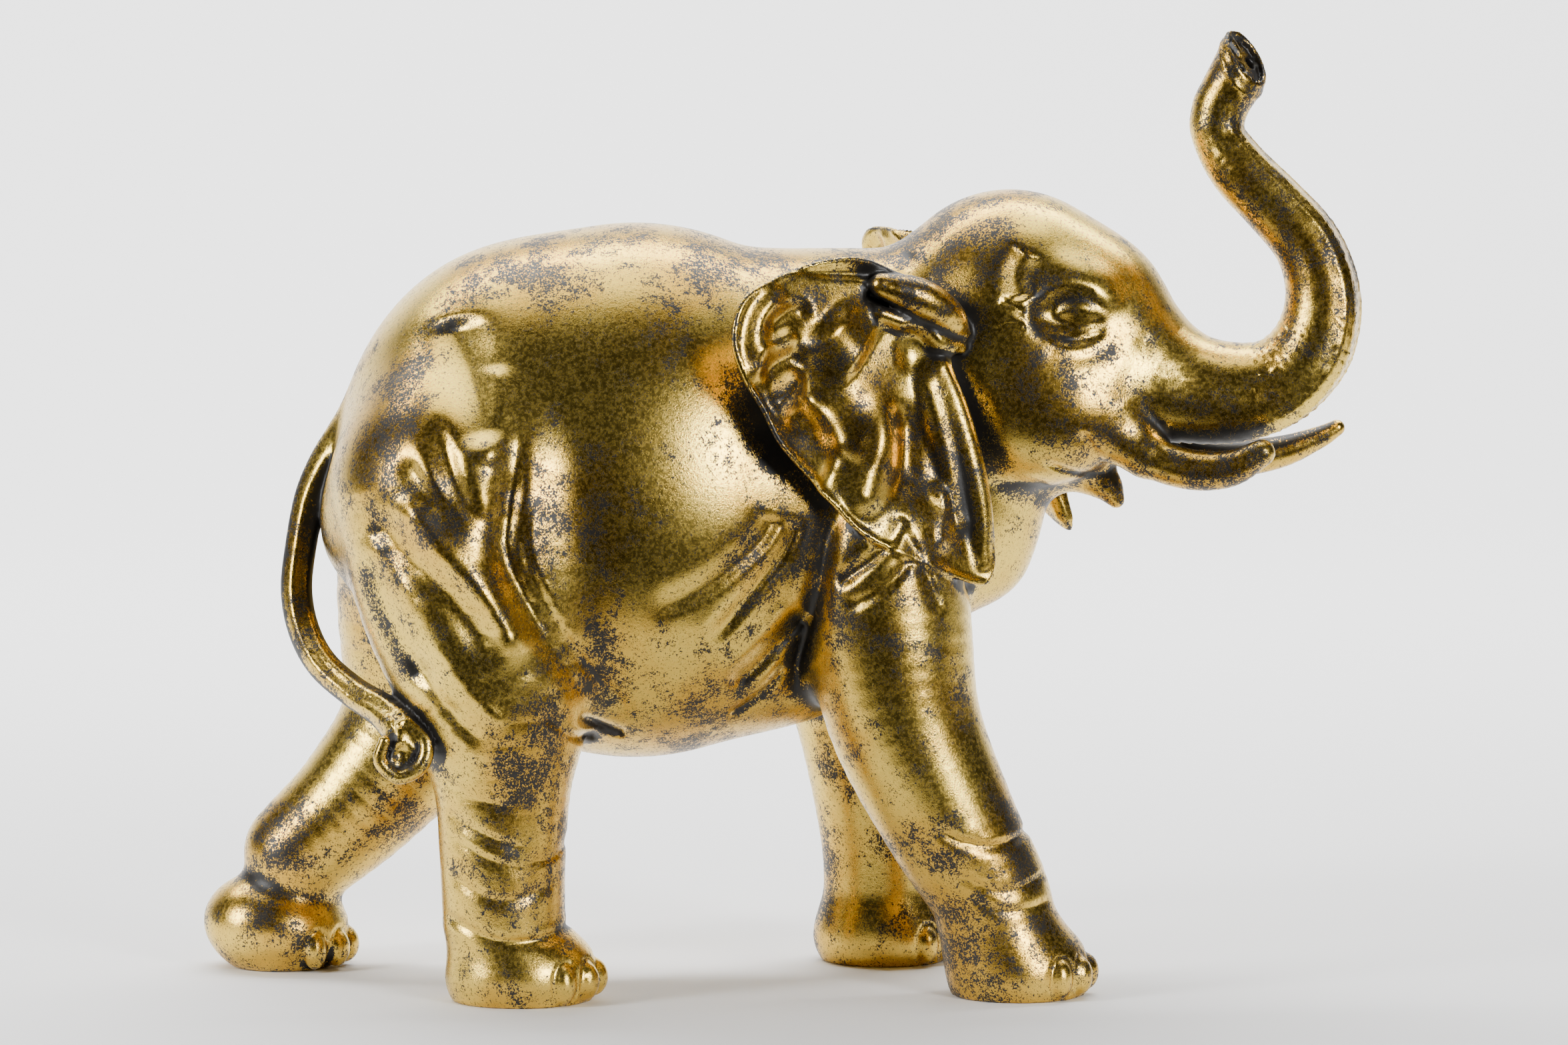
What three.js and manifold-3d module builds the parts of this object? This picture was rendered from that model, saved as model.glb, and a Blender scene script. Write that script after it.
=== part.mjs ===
import * as THREE from 'three';
import { mergeVertices } from 'three/addons/utils/BufferGeometryUtils.js';
import Module from 'manifold-3d';

// An elephant figurine, cast in one piece of resin, walking with its trunk raised.
// +X is the way it walks, +Y its left side and +Z up. The origin is on the ground,
// below the middle of its outline. All lengths are in millimetres.

const LENGTH = 258;                 // from the trailing hind heel to the front of the trunk's bend
const EAR_THICKNESS = 3;            // the ear's sheet, away from its rolled front edge
const TUSK_THICKNESS = 9.2;         // where a tusk leaves its sheath
const TAIL_THICKNESS = 7.2;         // half way down the tail
const FOLD_DEPTH = 3;               // the deepest fold of skin, on the flank
const NAIL_WIDTH = 7;               // the widest toenail
const NOSTRIL_WIDTH = 3;            // each of the two holes in the end of the trunk
const NOSTRIL_DEPTH = 4;
const HEAD_TURN = 16;               // degrees, towards the figure's right

// The sculpt's skin is sampled in this many steps along its length, and kept in so many faces.
const SAMPLES = 165;
const FACES = 9300;

// The pose, the proportions and the carving are shares of the figure's own length:
// one share is a 258th of it, and every place and radius below is stated in shares.
const SHARE = LENGTH / 258;
const DEGREE = Math.PI / 180;

const length2 = (x, y) => Math.sqrt(x * x + y * y);
const length3 = (x, y, z) => Math.sqrt(x * x + y * y + z * z);
const inShares = (numbers) => numbers.map((value) => value * SHARE);

// Distances to a form are negative inside it. Forms are joined and cut with a soft seam.
function join(a, b, seam) {
  const overlap = Math.max(seam - Math.abs(a - b), 0) / seam;
  return Math.min(a, b) - (overlap * overlap * seam) / 4;
}

const cutAway = (form, tool, seam) => -join(-form, tool, seam);

function smoothStep(value) {
  const t = Math.min(Math.max(value, 0), 1);
  return t * t * (3 - 2 * t);
}

// A rounded mass: its middle, its three half sizes, and how far its front end is tipped down.
function mass(middle, halfSizes, pitch = 0) {
  const [cx, cy, cz] = inShares(middle);
  const [rx, ry, rz] = inShares(halfSizes);
  const cos = Math.cos(pitch * DEGREE);
  const sin = Math.sin(pitch * DEGREE);
  return (x, y, z) => {
    const dx = x - cx;
    const dz = z - cz;
    const along = (dx * cos - dz * sin) / rx;
    const across = (y - cy) / ry;
    const up = (dx * sin + dz * cos) / rz;
    const size = Math.sqrt(along * along + across * across + up * up);
    const slope = Math.sqrt((along / rx) ** 2 + (across / ry) ** 2 + (up / rz) ** 2) + 1e-9;
    return (size * (size - 1)) / slope;
  };
}

// Points at even steps along a smooth line through the given ones, with the line's own width at each.
function smoothLine(stations, stepsEach) {
  const places = stations.map(([x, y, z]) => new THREE.Vector3(x, y, z));
  const route = new THREE.CatmullRomCurve3(places, false, 'catmullrom');
  const girth = new THREE.SplineCurve(stations.map((station, i) => new THREE.Vector2(i, station[3])));
  const count = (stations.length - 1) * stepsEach;
  return Array.from({ length: count + 1 }, (_, i) => {
    const { x, y, z } = route.getPoint(i / count);
    return [x, y, z, girth.getPoint(i / count).y];
  });
}

// A limb: stations of x, y, z and radius. A limb with a flat side is cut off at that share of
// its radius, on the side that lies below it where it runs forwards.
function limb(stations, flatSide = 0) {
  const line = smoothLine(stations.map(inShares), 5);
  const bounds = new THREE.Sphere().setFromPoints(line.map(([x, y, z]) => new THREE.Vector3(x, y, z)));
  const middle = bounds.center;
  const reach = bounds.radius + Math.max(...line.map((point) => point[3]));
  const farAway = 14 * SHARE;
  return (x, y, z) => {
    const away = length3(x - middle.x, y - middle.y, z - middle.z) - reach;
    if (away > farAway) return away;
    let nearest = Infinity;
    let below = 0;
    for (let i = 1; i < line.length; i += 1) {
      const [ax, ay, az, ar] = line[i - 1];
      const [ex, ey, ez, er] = line[i];
      const bx = ex - ax;
      const by = ey - ay;
      const bz = ez - az;
      const along = (x - ax) * bx + (y - ay) * by + (z - az) * bz;
      const t = Math.min(Math.max(along / (bx * bx + by * by + bz * bz), 0), 1);
      const dx = x - ax - bx * t;
      const dy = y - ay - by * t;
      const dz = z - az - bz * t;
      const radius = ar + (er - ar) * t;
      const distance = Math.sqrt(dx * dx + dy * dy + dz * dz) - radius;
      if (distance < nearest) {
        nearest = distance;
        below = (dx * bz - dz * bx) / length2(bx, bz) - radius * flatSide;
      }
    }
    return flatSide > 0 ? cutAway(nearest, -below, 1.4 * SHARE) : nearest;
  };
}

// A carved line on a surface seen flat: 1 on the line, fading over its widths on either side
// and towards both ends.
function stroke(line, leftWidth, rightWidth = leftWidth) {
  const points = smoothLine(line.map(([u, v]) => [...inShares([u, v]), 0, 0]), 4);
  const fade = 0.16;
  const room = 2.6 * SHARE * Math.max(leftWidth, rightWidth);
  const us = points.map((point) => point[0]);
  const vs = points.map((point) => point[1]);
  const [uLow, uHigh] = [Math.min(...us) - room, Math.max(...us) + room];
  const [vLow, vHigh] = [Math.min(...vs) - room, Math.max(...vs) + room];
  return (u, v) => {
    if (u < uLow || u > uHigh || v < vLow || v > vHigh) return 0;
    let nearest = Infinity;
    let share = 0;
    let onLeft = true;
    for (let i = 1; i < points.length; i += 1) {
      const [au, av] = points[i - 1];
      const bu = points[i][0] - au;
      const bv = points[i][1] - av;
      const t = Math.min(Math.max(((u - au) * bu + (v - av) * bv) / (bu * bu + bv * bv), 0), 1);
      const distance = length2(u - au - bu * t, v - av - bv * t);
      if (distance < nearest) {
        nearest = distance;
        share = (i - 1 + t) / (points.length - 1);
        onLeft = bu * (v - av) - bv * (u - au) > 0;
      }
    }
    const width = SHARE * (onLeft ? leftWidth : rightWidth);
    return Math.exp(-((nearest / width) ** 2)) * smoothStep(share / fade) * smoothStep((1 - share) / fade);
  };
}

// Barrel, rump, withers, chest, brisket, neck, throat and haunch, each with the seam that joins it on
const torsoForms = [
  [mass([-32.4, 0, 110.6], [58.2, 46, 60]), 12],
  [mass([-64.8, 0, 120.2], [33.8, 36.5, 44.2], 12), 12],
  [mass([10, 0, 116], [34, 35, 46.2]), 12],
  [mass([30, -2, 110], [28, 24, 30], -22), 10],
  [mass([-2, 0, 76.4], [24, 24, 18.6]), 8],
  [limb([[6, 0, 135, 27], [28, -2, 140, 25], [45, -3, 145, 21]]), 8],
  [limb([[47, -3, 120, 14], [47.6, -3, 108, 11], [45, -3, 97, 10.5]]), 5],
  [mass([-90, -7, 104], [12.5, 15, 15]), 6],
];

// Legs from hip to ankle, with the foot, the middle and half sizes of its toes, and the seam at the body
const NEAR_Y = -28;
const FAR_Y = 25;
const legForms = [
  {
    leg: limb([[-70, -20, 112, 30], [-68, -24, 92, 27], [-64, -27, 70, 21.5], [-63, NEAR_Y, 50, 15.5],
      [-63, NEAR_Y, 32, 13.9], [-62.8, NEAR_Y, 18, 13.5]]),
    foot: mass([-58.8, NEAR_Y, 5.5], [17, 15.3, 13]),
    middle: [-58.8, NEAR_Y],
    toes: [17, 15.3],
    seam: 7,
  },
  {
    leg: limb([[-70, 20, 110, 28], [-74, 24, 85, 25], [-79.6, FAR_Y, 58, 18.4], [-93, FAR_Y, 39.4, 15],
      [-107.4, FAR_Y, 26, 13]]),
    foot: mass([-113, FAR_Y, 9.3], [16.7, 15, 12.4], 10),
    middle: [-113, FAR_Y],
    toes: [16.7, 15],
    seam: 8,
  },
  {
    leg: limb([[20, -24, 100, 20], [22.5, -26, 80, 18.5], [26.4, -27, 60, 16.7], [36.4, NEAR_Y, 38, 14.7],
      [44, NEAR_Y, 24.4, 13.4], [46.8, NEAR_Y, 15, 13.2]]),
    foot: mass([51.2, NEAR_Y, 5.2], [16, 15, 13.4]),
    middle: [51.2, NEAR_Y],
    toes: [16, 15],
    seam: 6,
  },
  {
    leg: limb([[16, 24, 100, 20], [18.6, FAR_Y, 75, 18], [22.8, FAR_Y, 50, 15.6], [24.8, FAR_Y, 28, 13.4],
      [25.3, FAR_Y, 14, 13.2]]),
    foot: mass([26.1, FAR_Y, 6], [16.5, 15, 12.4]),
    middle: [26.1, FAR_Y],
    toes: [16.5, 15],
    seam: 8,
  },
];
const FOOT_SEAM = 4;

// Five toenails stand around the front of each foot.
const nailTurns = [-56, -28, 0, 28, 56];
const nailWidth = NAIL_WIDTH / SHARE;
const NAIL_INSET = 1.5;
const NAIL_RISE = 5;
const NAIL_HALF_HEIGHT = 4.2;
const SIDE_NAIL_SHARE = 0.8;        // the width of the outermost nails against the middle one
for (const form of legForms) {
  const [x, y] = form.middle;
  const [alongReach, acrossReach] = form.toes.map((halfSize) => halfSize - NAIL_INSET);
  form.nails = nailTurns.map((turn) => {
    const forwards = alongReach * Math.cos(turn * DEGREE);
    const sideways = acrossReach * Math.sin(turn * DEGREE);
    const outermost = Math.abs(turn) / nailTurns[nailTurns.length - 1];
    const halfWidth = 0.5 * nailWidth * (1 - (1 - SIDE_NAIL_SHARE) * outermost);
    return mass([x + forwards, y + sideways, NAIL_RISE], [halfWidth, halfWidth, NAIL_HALF_HEIGHT]);
  });
}

// Folds of skin seen from the side: their depth as a share of the deepest, and their line.
// A fold with a negative depth is a ridge.
const foldLines = [
  [1, stroke([[-60, 133], [-60.6, 122], [-62.2, 110], [-62.4, 100], [-57, 87.5], [-49.5, 75], [-42, 61]],
    2.2, 3.2)],
  [0.4, stroke([[-58.4, 117], [-60.2, 104], [-56.5, 91], [-48.5, 77.5], [-33, 61]], 1.4, 1.6)],
  [0.75, stroke([[-79, 132], [-76, 124], [-72.6, 114], [-63.5, 101]], 1.8, 2.8)],
  [0.5, stroke([[-84, 122], [-79.5, 114], [-71, 104]], 1.5, 2.6)],
  [-0.45, stroke([[-86, 114], [-78, 103], [-67, 91], [-58, 76]], 3.4)],
  [0.55, stroke([[-90, 111], [-83, 100.5], [-72.5, 91], [-62, 77]], 3.6)],
  [0.4, stroke([[-91, 101], [-86.5, 86], [-77, 70]], 3.4)],
  [0.35, stroke([[-72, 152], [-70, 138], [-66.5, 125]], 6)],
  [0.95, stroke([[13, 112], [8.4, 104], [6.6, 93], [5, 84], [2, 73], [2, 64]], 2, 2.8)],
  [0.35, stroke([[-3.5, 109], [-6.5, 103], [-18, 93.5], [-32, 86]], 1.8, 2.4)],
  [0.45, stroke([[2, 108], [-1.5, 100], [-8, 92], [-18, 79]], 1.7, 2.2)],
  [0.5, stroke([[4.5, 86], [-3, 78], [-13, 68]], 1.8, 2.6)],
  [0.45, stroke([[25, 108], [20, 101], [9, 92]], 1.8, 2.4)],
  [0.3, stroke([[32, 107], [35, 98], [42, 88]], 1.8, 2.4)],
  [0.3, stroke([[38, 38], [47, 34], [55, 38]], 1.3, 1.8)],
  [0.25, stroke([[34, 27], [46, 22], [58, 25]], 1.3, 1.8)],
  [0.25, stroke([[-75, 27], [-62, 22.5], [-49, 26]], 1.3, 1.8)],
  [0.25, stroke([[-74, 43], [-64, 37], [-52, 33]], 1.3, 2.2)],
];

// On the figure's right the folds show in full; its left side keeps the broad ones.
const BROAD_FOLD = 0.45;
function foldDepth(x, y, z) {
  const onRight = y < 0;
  const atSide = smoothStep((Math.abs(y) / SHARE - 6) / 14);
  if (atSide === 0) return 0;
  let depth = 0;
  for (const [share, line] of foldLines) {
    if (onRight || Math.abs(share) > BROAD_FOLD) depth += share * line(x, z);
  }
  return depth * atSide * FOLD_DEPTH;
}

// Crown, forehead, cheeks, brows, jaw and lip, in the head's own directions
const SIDES = [-1, 1];
const skullForms = [
  [mass([52, 0, 148], [29, 26, 30]), 8],
  [mass([69.4, 0, 148.6], [18.6, 18.5, 19.5], 28), 7],
  ...SIDES.map((side) => [mass([60, 13 * side, 131], [22, 13, 17.5]), 7]),
  ...SIDES.map((side) => [mass([69, 14.5 * side, 157.5], [9.5, 6, 5], 20), 4]),
  [mass([56, 0, 123.5], [23, 17, 11.5]), 7],
  [limb([[60, 0, 119, 9], [67.5, 0, 116.5, 6.2], [73.5, 0, 112.5, 3.8], [76.2, 0, 108.8, 1.9]]), 3],
];
const TRUNK_FLAT = 0.74;
const trunk = limb([[79, 0, 138, 16.5], [91, 0, 133, 13.9], [102.6, 0, 131.8, 12.6], [112.4, 0, 134.4, 11.3],
  [119.4, 0, 140.8, 10.5], [122.7, 0, 149, 9.7], [122.7, 0, 158, 8.9], [119, 0, 167.4, 8.2],
  [111.5, 0, 175.8, 7.8], [104.1, 0, 183.2, 7.4], [99.2, 0, 190.5, 6.3], [98.8, -0.2, 196, 5.6]], TRUNK_FLAT);
const trunkTube = limb([[98.6, -0.2, 193.5, 5.7], [100.2, -0.4, 198.5, 6.1], [103, -0.7, 203.5, 6.4],
  [105.2, -1, 208.8, 6], [106.9, -1.4, 213, 5.2]]);

// The trunk's end is cut off obliquely and dished inside its lip, with two nostrils side by side.
const END_MIDDLE = new THREE.Vector3(105.3, -1, 207.8).multiplyScalar(SHARE);
const END_NORMAL = new THREE.Vector3(0.775, -0.329, 0.543).normalize();
const END_LIP = 1.3 * SHARE;
const DISH_DEPTH = 1.2 * SHARE;
const nostrilSide = new THREE.Vector3(0, 1, 0).projectOnPlane(END_NORMAL).normalize();
const nostrilDown = nostrilSide.clone().cross(END_NORMAL);
const nostrils = [-1, 1].map((side) => {
  const mouth = END_MIDDLE.clone().addScaledVector(nostrilSide, side * 0.85 * NOSTRIL_WIDTH)
    .addScaledVector(nostrilDown, 1.4 * SHARE);
  const deep = mouth.clone().addScaledVector(END_NORMAL, -NOSTRIL_DEPTH);
  const radius = NOSTRIL_WIDTH / 2 / SHARE;
  return limb([mouth, deep].map((place) => [...place.divideScalar(SHARE).toArray(), radius]));
});

function trunkEnd(x, y, z) {
  const tube = trunkTube(x, y, z);
  const above = (x - END_MIDDLE.x) * END_NORMAL.x + (y - END_MIDDLE.y) * END_NORMAL.y
    + (z - END_MIDDLE.z) * END_NORMAL.z;
  const closed = cutAway(tube, -above, SHARE);
  return cutAway(closed, Math.max(tube + END_LIP, -above - DISH_DEPTH), 0.6 * SHARE);
}

// Eyes: a ball under two lids, in a shallow socket
const eyeForms = SIDES.map((side) => ({
  socket: mass([70.5, 22 * side, 150.5], [7.5, 5, 4.5], 5),
  ball: mass([70, 16.6 * side, 151], [4.6, 4, 3.4]),
}));

// The figure's left tusk is a little longer and thinner at its end.
const tuskRadius = TUSK_THICKNESS / 2 / SHARE;
const tuskForms = [
  limb([[76, -12.5, 125.5, tuskRadius], [85, -13.6, 120, tuskRadius],
    [95, -14.5, 117, 0.98 * tuskRadius], [104, -15, 117.4, 0.88 * tuskRadius],
    [111, -15, 121, 0.64 * tuskRadius]]),
  limb([[76, 12.5, 125.5, tuskRadius], [86, 13.6, 119.4, tuskRadius],
    [98, 14.5, 117.3, 0.94 * tuskRadius], [110, 15.5, 118.7, 0.8 * tuskRadius],
    [119, 16.5, 122, 0.56 * tuskRadius], [123.4, 17, 124.4, 0.4 * tuskRadius]]),
];
const sheathForms = SIDES.map((side) => limb([[72, 11 * side, 133, 8], [78, 12.5 * side, 125.5, 6.3],
  [85, 13.5 * side, 120, 5.2]]));

// The ear is a curved sheet. Its outline is seen square on, back from its root and up.
const earOutline = [[2.5, 1], [9.6, 9], [20.8, 14.6], [31, 14.4], [45, 9.6], [54.4, 4], [57.6, -4],
  [56, -12], [51.6, -19.5], [47.4, -28], [37.5, -37], [28.2, -45.8], [17, -50.6], [0.6, -55.3],
  [-3.8, -53], [-4.4, -46], [-2.5, -37.2], [0.6, -26.5], [3.2, -16], [3.6, -7]];
const EAR_MIDDLE = [24, -16];
const rimPlaces = earOutline.map(([u, v]) => new THREE.Vector3(u, v, 0));
const earRim = new THREE.CatmullRomCurve3(rimPlaces, true, 'catmullrom')
  .getPoints(240)
  .map(({ x, y }) => ({
    turn: Math.atan2(y - EAR_MIDDLE[1], x - EAR_MIDDLE[0]),
    radius: Math.hypot(x - EAR_MIDDLE[0], y - EAR_MIDDLE[1]),
  }));
const RIM_STEPS = 180;
const rimRadii = Array.from({ length: RIM_STEPS }, (_, i) => {
  const turn = ((i + 0.5) / RIM_STEPS - 0.5) * 2 * Math.PI;
  const gap = (point) => Math.abs(Math.atan2(Math.sin(point.turn - turn), Math.cos(point.turn - turn)));
  return earRim.reduce((best, point) => (gap(point) < gap(best) ? point : best)).radius;
});

function rimRadius(turn) {
  const place = (turn / (2 * Math.PI) + 0.5) * RIM_STEPS - 0.5;
  const low = Math.floor(place);
  const at = (i) => rimRadii[(i + RIM_STEPS) % RIM_STEPS];
  return at(low) + (at(low + 1) - at(low)) * (place - low);
}

// Ribs and valleys of the ear: height in shares, then the line back from the root and up
const earLines = [
  [1.7, stroke([[20, -19], [24, -27], [28.5, -35], [31, -41]], 2.4, 2.8)],
  [1.5, stroke([[10, -32], [7.5, -38], [9.5, -44], [9, -50]], 2.2)],
  [1.4, stroke([[45, 7], [50, -1], [52, -9], [51, -15]], 2.4)],
  [-0.9, stroke([[40, 2], [50, -4]], 1.5, 1.8)],
  [-1.3, stroke([[41, -7], [51, -14]], 1.6, 2)],
  [-1.3, stroke([[36, -16], [46, -23]], 1.8)],
  [-0.8, stroke([[30, -30], [35, -38]], 1.5)],
  [-0.9, stroke([[20, -35], [25, -44]], 1.4)],
  [-1.4, stroke([[5, -36], [4.5, -43]], 1.5)],
  [-1.7, stroke([[24, 7.5], [16, 5], [11, 0]], 1.6, 2)],
];
const earRoll = limb([[6, -8, 1, 2.4], [3.5, -17, 2.5, 3], [0.5, -29, 3, 3], [-1.6, -40, 2.5, 2.6],
  [-2, -50, 1.5, 1.8]]);
const earFold = limb([[10, -9, 1, 1.8], [8, -18, 2, 2.3], [5, -30, 2.2, 2.3], [3, -41, 1.5, 1.8]]);
const earLobe = limb([[0.5, 0, 2, 1.7], [5, 4, 3.6, 3.6], [12, 7.5, 4, 4], [20, 9, 2.6, 2.6]]);
const earHollow = mass([13, -5.5, 7], [5.5, 7, 7.5]);
const FAN_FOLDS = 8.5;

// An ear of the figure's right side, in the head's own directions. Its sheet swings back from the
// root by 40 degrees, leans out at the bottom, and skews forwards there by a share of its drop.
function ear(size, lift, swing, lean, skew) {
  const [rootX, rootY, rootZ] = inShares([45.3, -25.1, 147 + lift]);
  const back = 40 * DEGREE;
  const upLength = Math.hypot(lean, 1);
  const outLength = Math.hypot(1, Math.cos(back) * lean);
  const [tipCos, tipSin] = [Math.cos(swing * DEGREE), Math.sin(swing * DEGREE)];
  const [middleU, middleV] = inShares(EAR_MIDDLE);
  const sheet = EAR_THICKNESS / 2;
  const farAway = 52 * SHARE;
  return (x, y, z) => {
    const [px, py, pz] = [(x - rootX) / size, (y - rootY) / size, (z - rootZ) / size];
    const away = length3(px + 16 * SHARE, py + 14 * SHARE, pz + 16 * SHARE) - farAway;
    if (away > 0) return away + 10 * SHARE;
    const backwards = -px * Math.cos(back) - py * Math.sin(back);
    const upwards = (py * lean + pz) / upLength;
    const out = (px * Math.sin(back) - py * Math.cos(back) + pz * Math.cos(back) * lean) / outLength;
    const v = upwards * tipCos - backwards * tipSin;
    const u = backwards * tipCos + upwards * tipSin + skew * Math.max(-v, 0);
    const edge = length2(u - middleU, v - middleV)
      - SHARE * rimRadius(Math.atan2(v - middleV, u - middleU));
    const fromRoot = length2(u / SHARE - 6, v / SHARE - 2) / 52;
    const turn = Math.atan2(v / SHARE - 2, u / SHARE - 6);
    const belowTop = smoothStep(0.8 - turn / DEGREE / 30);
    const fan = 1.1 * fromRoot ** 1.4 * Math.sin(turn * FAN_FOLDS + 0.8) * belowTop;
    let height = 5 * (fromRoot - 0.35) ** 2 - 1 + fan + Math.exp(-((edge / (2 * SHARE)) ** 2));
    for (const [rise, line] of earLines) height += rise * line(u, v);
    let skin = cutAway(edge, sheet - Math.abs(out - height * SHARE), 1.6 * SHARE);
    skin = join(skin, Math.min(earRoll(u, v, out), earFold(u, v, out)), 1.6 * SHARE);
    skin = join(skin, earLobe(u, v, out), 1.2 * SHARE);
    return cutAway(skin, earHollow(u, v, out), 1.6 * SHARE) * size;
  };
}
const rightEar = ear(1, 0, 0, 0.15, 0);
const leftEar = ear(0.82, 2, 9, 0.38, 0.27);

// The tail hangs clear of the rump and curls onto the near thigh, where its tuft rests.
const tailRadius = TAIL_THICKNESS / 2 / SHARE;
const tail = limb([[-90, 0, 131, 1.7 * tailRadius], [-96, 0, 123.3, 1.45 * tailRadius],
  [-101.2, 0, 116.5, 1.2 * tailRadius], [-104.8, -0.5, 109, 1.05 * tailRadius],
  [-107, -2, 98.5, tailRadius], [-108, -5, 89, tailRadius], [-106.4, -9, 80.5, tailRadius],
  [-102.4, -15, 73.5, tailRadius], [-95.5, -22, 68, tailRadius], [-89, -30, 64.5, 1.1 * tailRadius],
  [-84.6, -36.5, 60, 1.3 * tailRadius], [-86.5, -38, 55, 1.15 * tailRadius]]);

const headCos = Math.cos(HEAD_TURN * DEGREE);
const headSin = Math.sin(HEAD_TURN * DEGREE);
const NECK_X = 35 * SHARE;

function headDistance(x, y, z) {
  let distance = Infinity;
  for (const [form, seam] of skullForms) {
    distance = distance === Infinity ? form(x, y, z) : join(distance, form(x, y, z), seam * SHARE);
  }
  for (const { socket, ball } of eyeForms) {
    distance = cutAway(distance, socket(x, y, z), 2.5 * SHARE);
    distance = join(distance, ball(x, y, z), 0.8 * SHARE);
  }
  distance = join(distance, trunk(x, y, z), 6 * SHARE);
  distance = join(distance, trunkEnd(x, y, z), 2 * SHARE);
  for (const nostril of nostrils) distance = cutAway(distance, nostril(x, y, z), 0.5 * SHARE);
  SIDES.forEach((side, i) => {
    distance = join(distance, sheathForms[i](x, y, z), 4 * SHARE);
    distance = join(distance, tuskForms[i](x, y, z), 1.2 * SHARE);
  });
  return distance;
}

// The whole figure, standing a little below the ground so that its soles can be cut flat
function figure(x, y, z) {
  let distance = Infinity;
  for (const [form, seam] of torsoForms) {
    distance = distance === Infinity ? form(x, y, z) : join(distance, form(x, y, z), seam * SHARE);
  }
  for (const { leg, foot, nails, seam } of legForms) {
    let limbDistance = join(leg(x, y, z), foot(x, y, z), FOOT_SEAM * SHARE);
    if (z < 12 * SHARE) {
      for (const nail of nails) limbDistance = join(limbDistance, nail(x, y, z), 0.8 * SHARE);
    }
    distance = join(distance, limbDistance, seam * SHARE);
  }
  distance += foldDepth(x, y, z);
  const headX = NECK_X + (x - NECK_X) * headCos - y * headSin;
  const headY = (x - NECK_X) * headSin + y * headCos;
  const earSeam = 1.5 * SHARE;
  distance = join(distance, headDistance(headX, headY, z), 6 * SHARE);
  distance = join(distance, rightEar(headX, headY, z), earSeam);
  distance = join(distance, leftEar(headX, -headY, z), earSeam);
  return join(distance, tail(x, y, z), 1.5 * SHARE);
}

// Samples a form on a grid. Blocks that lie well away from its skin take one sample.
function sampleForm(form, low, high, step) {
  const block = 4;
  const counts = [0, 1, 2].map((axis) => block * Math.ceil((high[axis] - low[axis]) / step / block));
  const [nx, ny, nz] = counts;
  const values = new Float32Array(nx * ny * nz);
  const nearSkin = 1.6 * block * step;
  const least = 0.04 * step;
  for (let i = 0; i < nx; i += block) {
    for (let j = 0; j < ny; j += block) {
      for (let k = 0; k < nz; k += block) {
        const middle = [i, j, k].map((index, axis) => low[axis] + (index + (block - 1) / 2) * step);
        const rough = form(...middle);
        const isNear = Math.abs(rough) < nearSkin;
        for (let n = 0; n < block ** 3; n += 1) {
          const a = i + (n & 3);
          const b = j + ((n >> 2) & 3);
          const c = k + (n >> 4);
          const exact = isNear ? form(low[0] + a * step, low[1] + b * step, low[2] + c * step) : rough;
          values[(a * ny + b) * nz + c] = Math.abs(exact) < least ? Math.sign(exact || 1) * least : exact;
        }
      }
    }
  }
  return { values, counts };
}

// A grid cell's eight corners are numbered by their steps along X, Y and Z, as bits 4, 2 and 1. It is
// six tetrahedra, each reaching from corner 0 to corner 7. For each, and for each set of its corners
// that lie inside the form, this holds the edges that the skin cuts, anticlockwise seen from outside.
const cellCorners = Array.from({ length: 8 }, (_, i) => new THREE.Vector3(i >> 2, (i >> 1) & 1, i & 1));
const tetrahedra = [[4, 6], [4, 5], [2, 6], [2, 3], [1, 5], [1, 3]]
  .map(([second, third]) => [0, second, third, 7]);

function cutEdges(ins, outs) {
  if (ins.length === 1) return outs.map((corner) => [ins[0], corner]);
  if (outs.length === 1) return ins.map((corner) => [corner, outs[0]]);
  return [[ins[0], outs[0]], [ins[0], outs[1]], [ins[1], outs[1]], [ins[1], outs[0]]];
}

const patches = tetrahedra.map((corners) => Array.from({ length: 16 }, (_, code) => {
  const ins = corners.filter((_corner, i) => (code >> i) & 1);
  const outs = corners.filter((corner) => !ins.includes(corner));
  if (ins.length === 0 || outs.length === 0) return [];
  const edges = cutEdges(ins, outs);
  const [a, b, c] = edges.map(([from, to]) => cellCorners[from].clone().add(cellCorners[to]));
  const outwards = cellCorners[outs[0]].clone().sub(cellCorners[ins[0]]);
  return b.sub(a).cross(c.sub(a)).dot(outwards) < 0 ? edges.reverse() : edges;
}));

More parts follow.
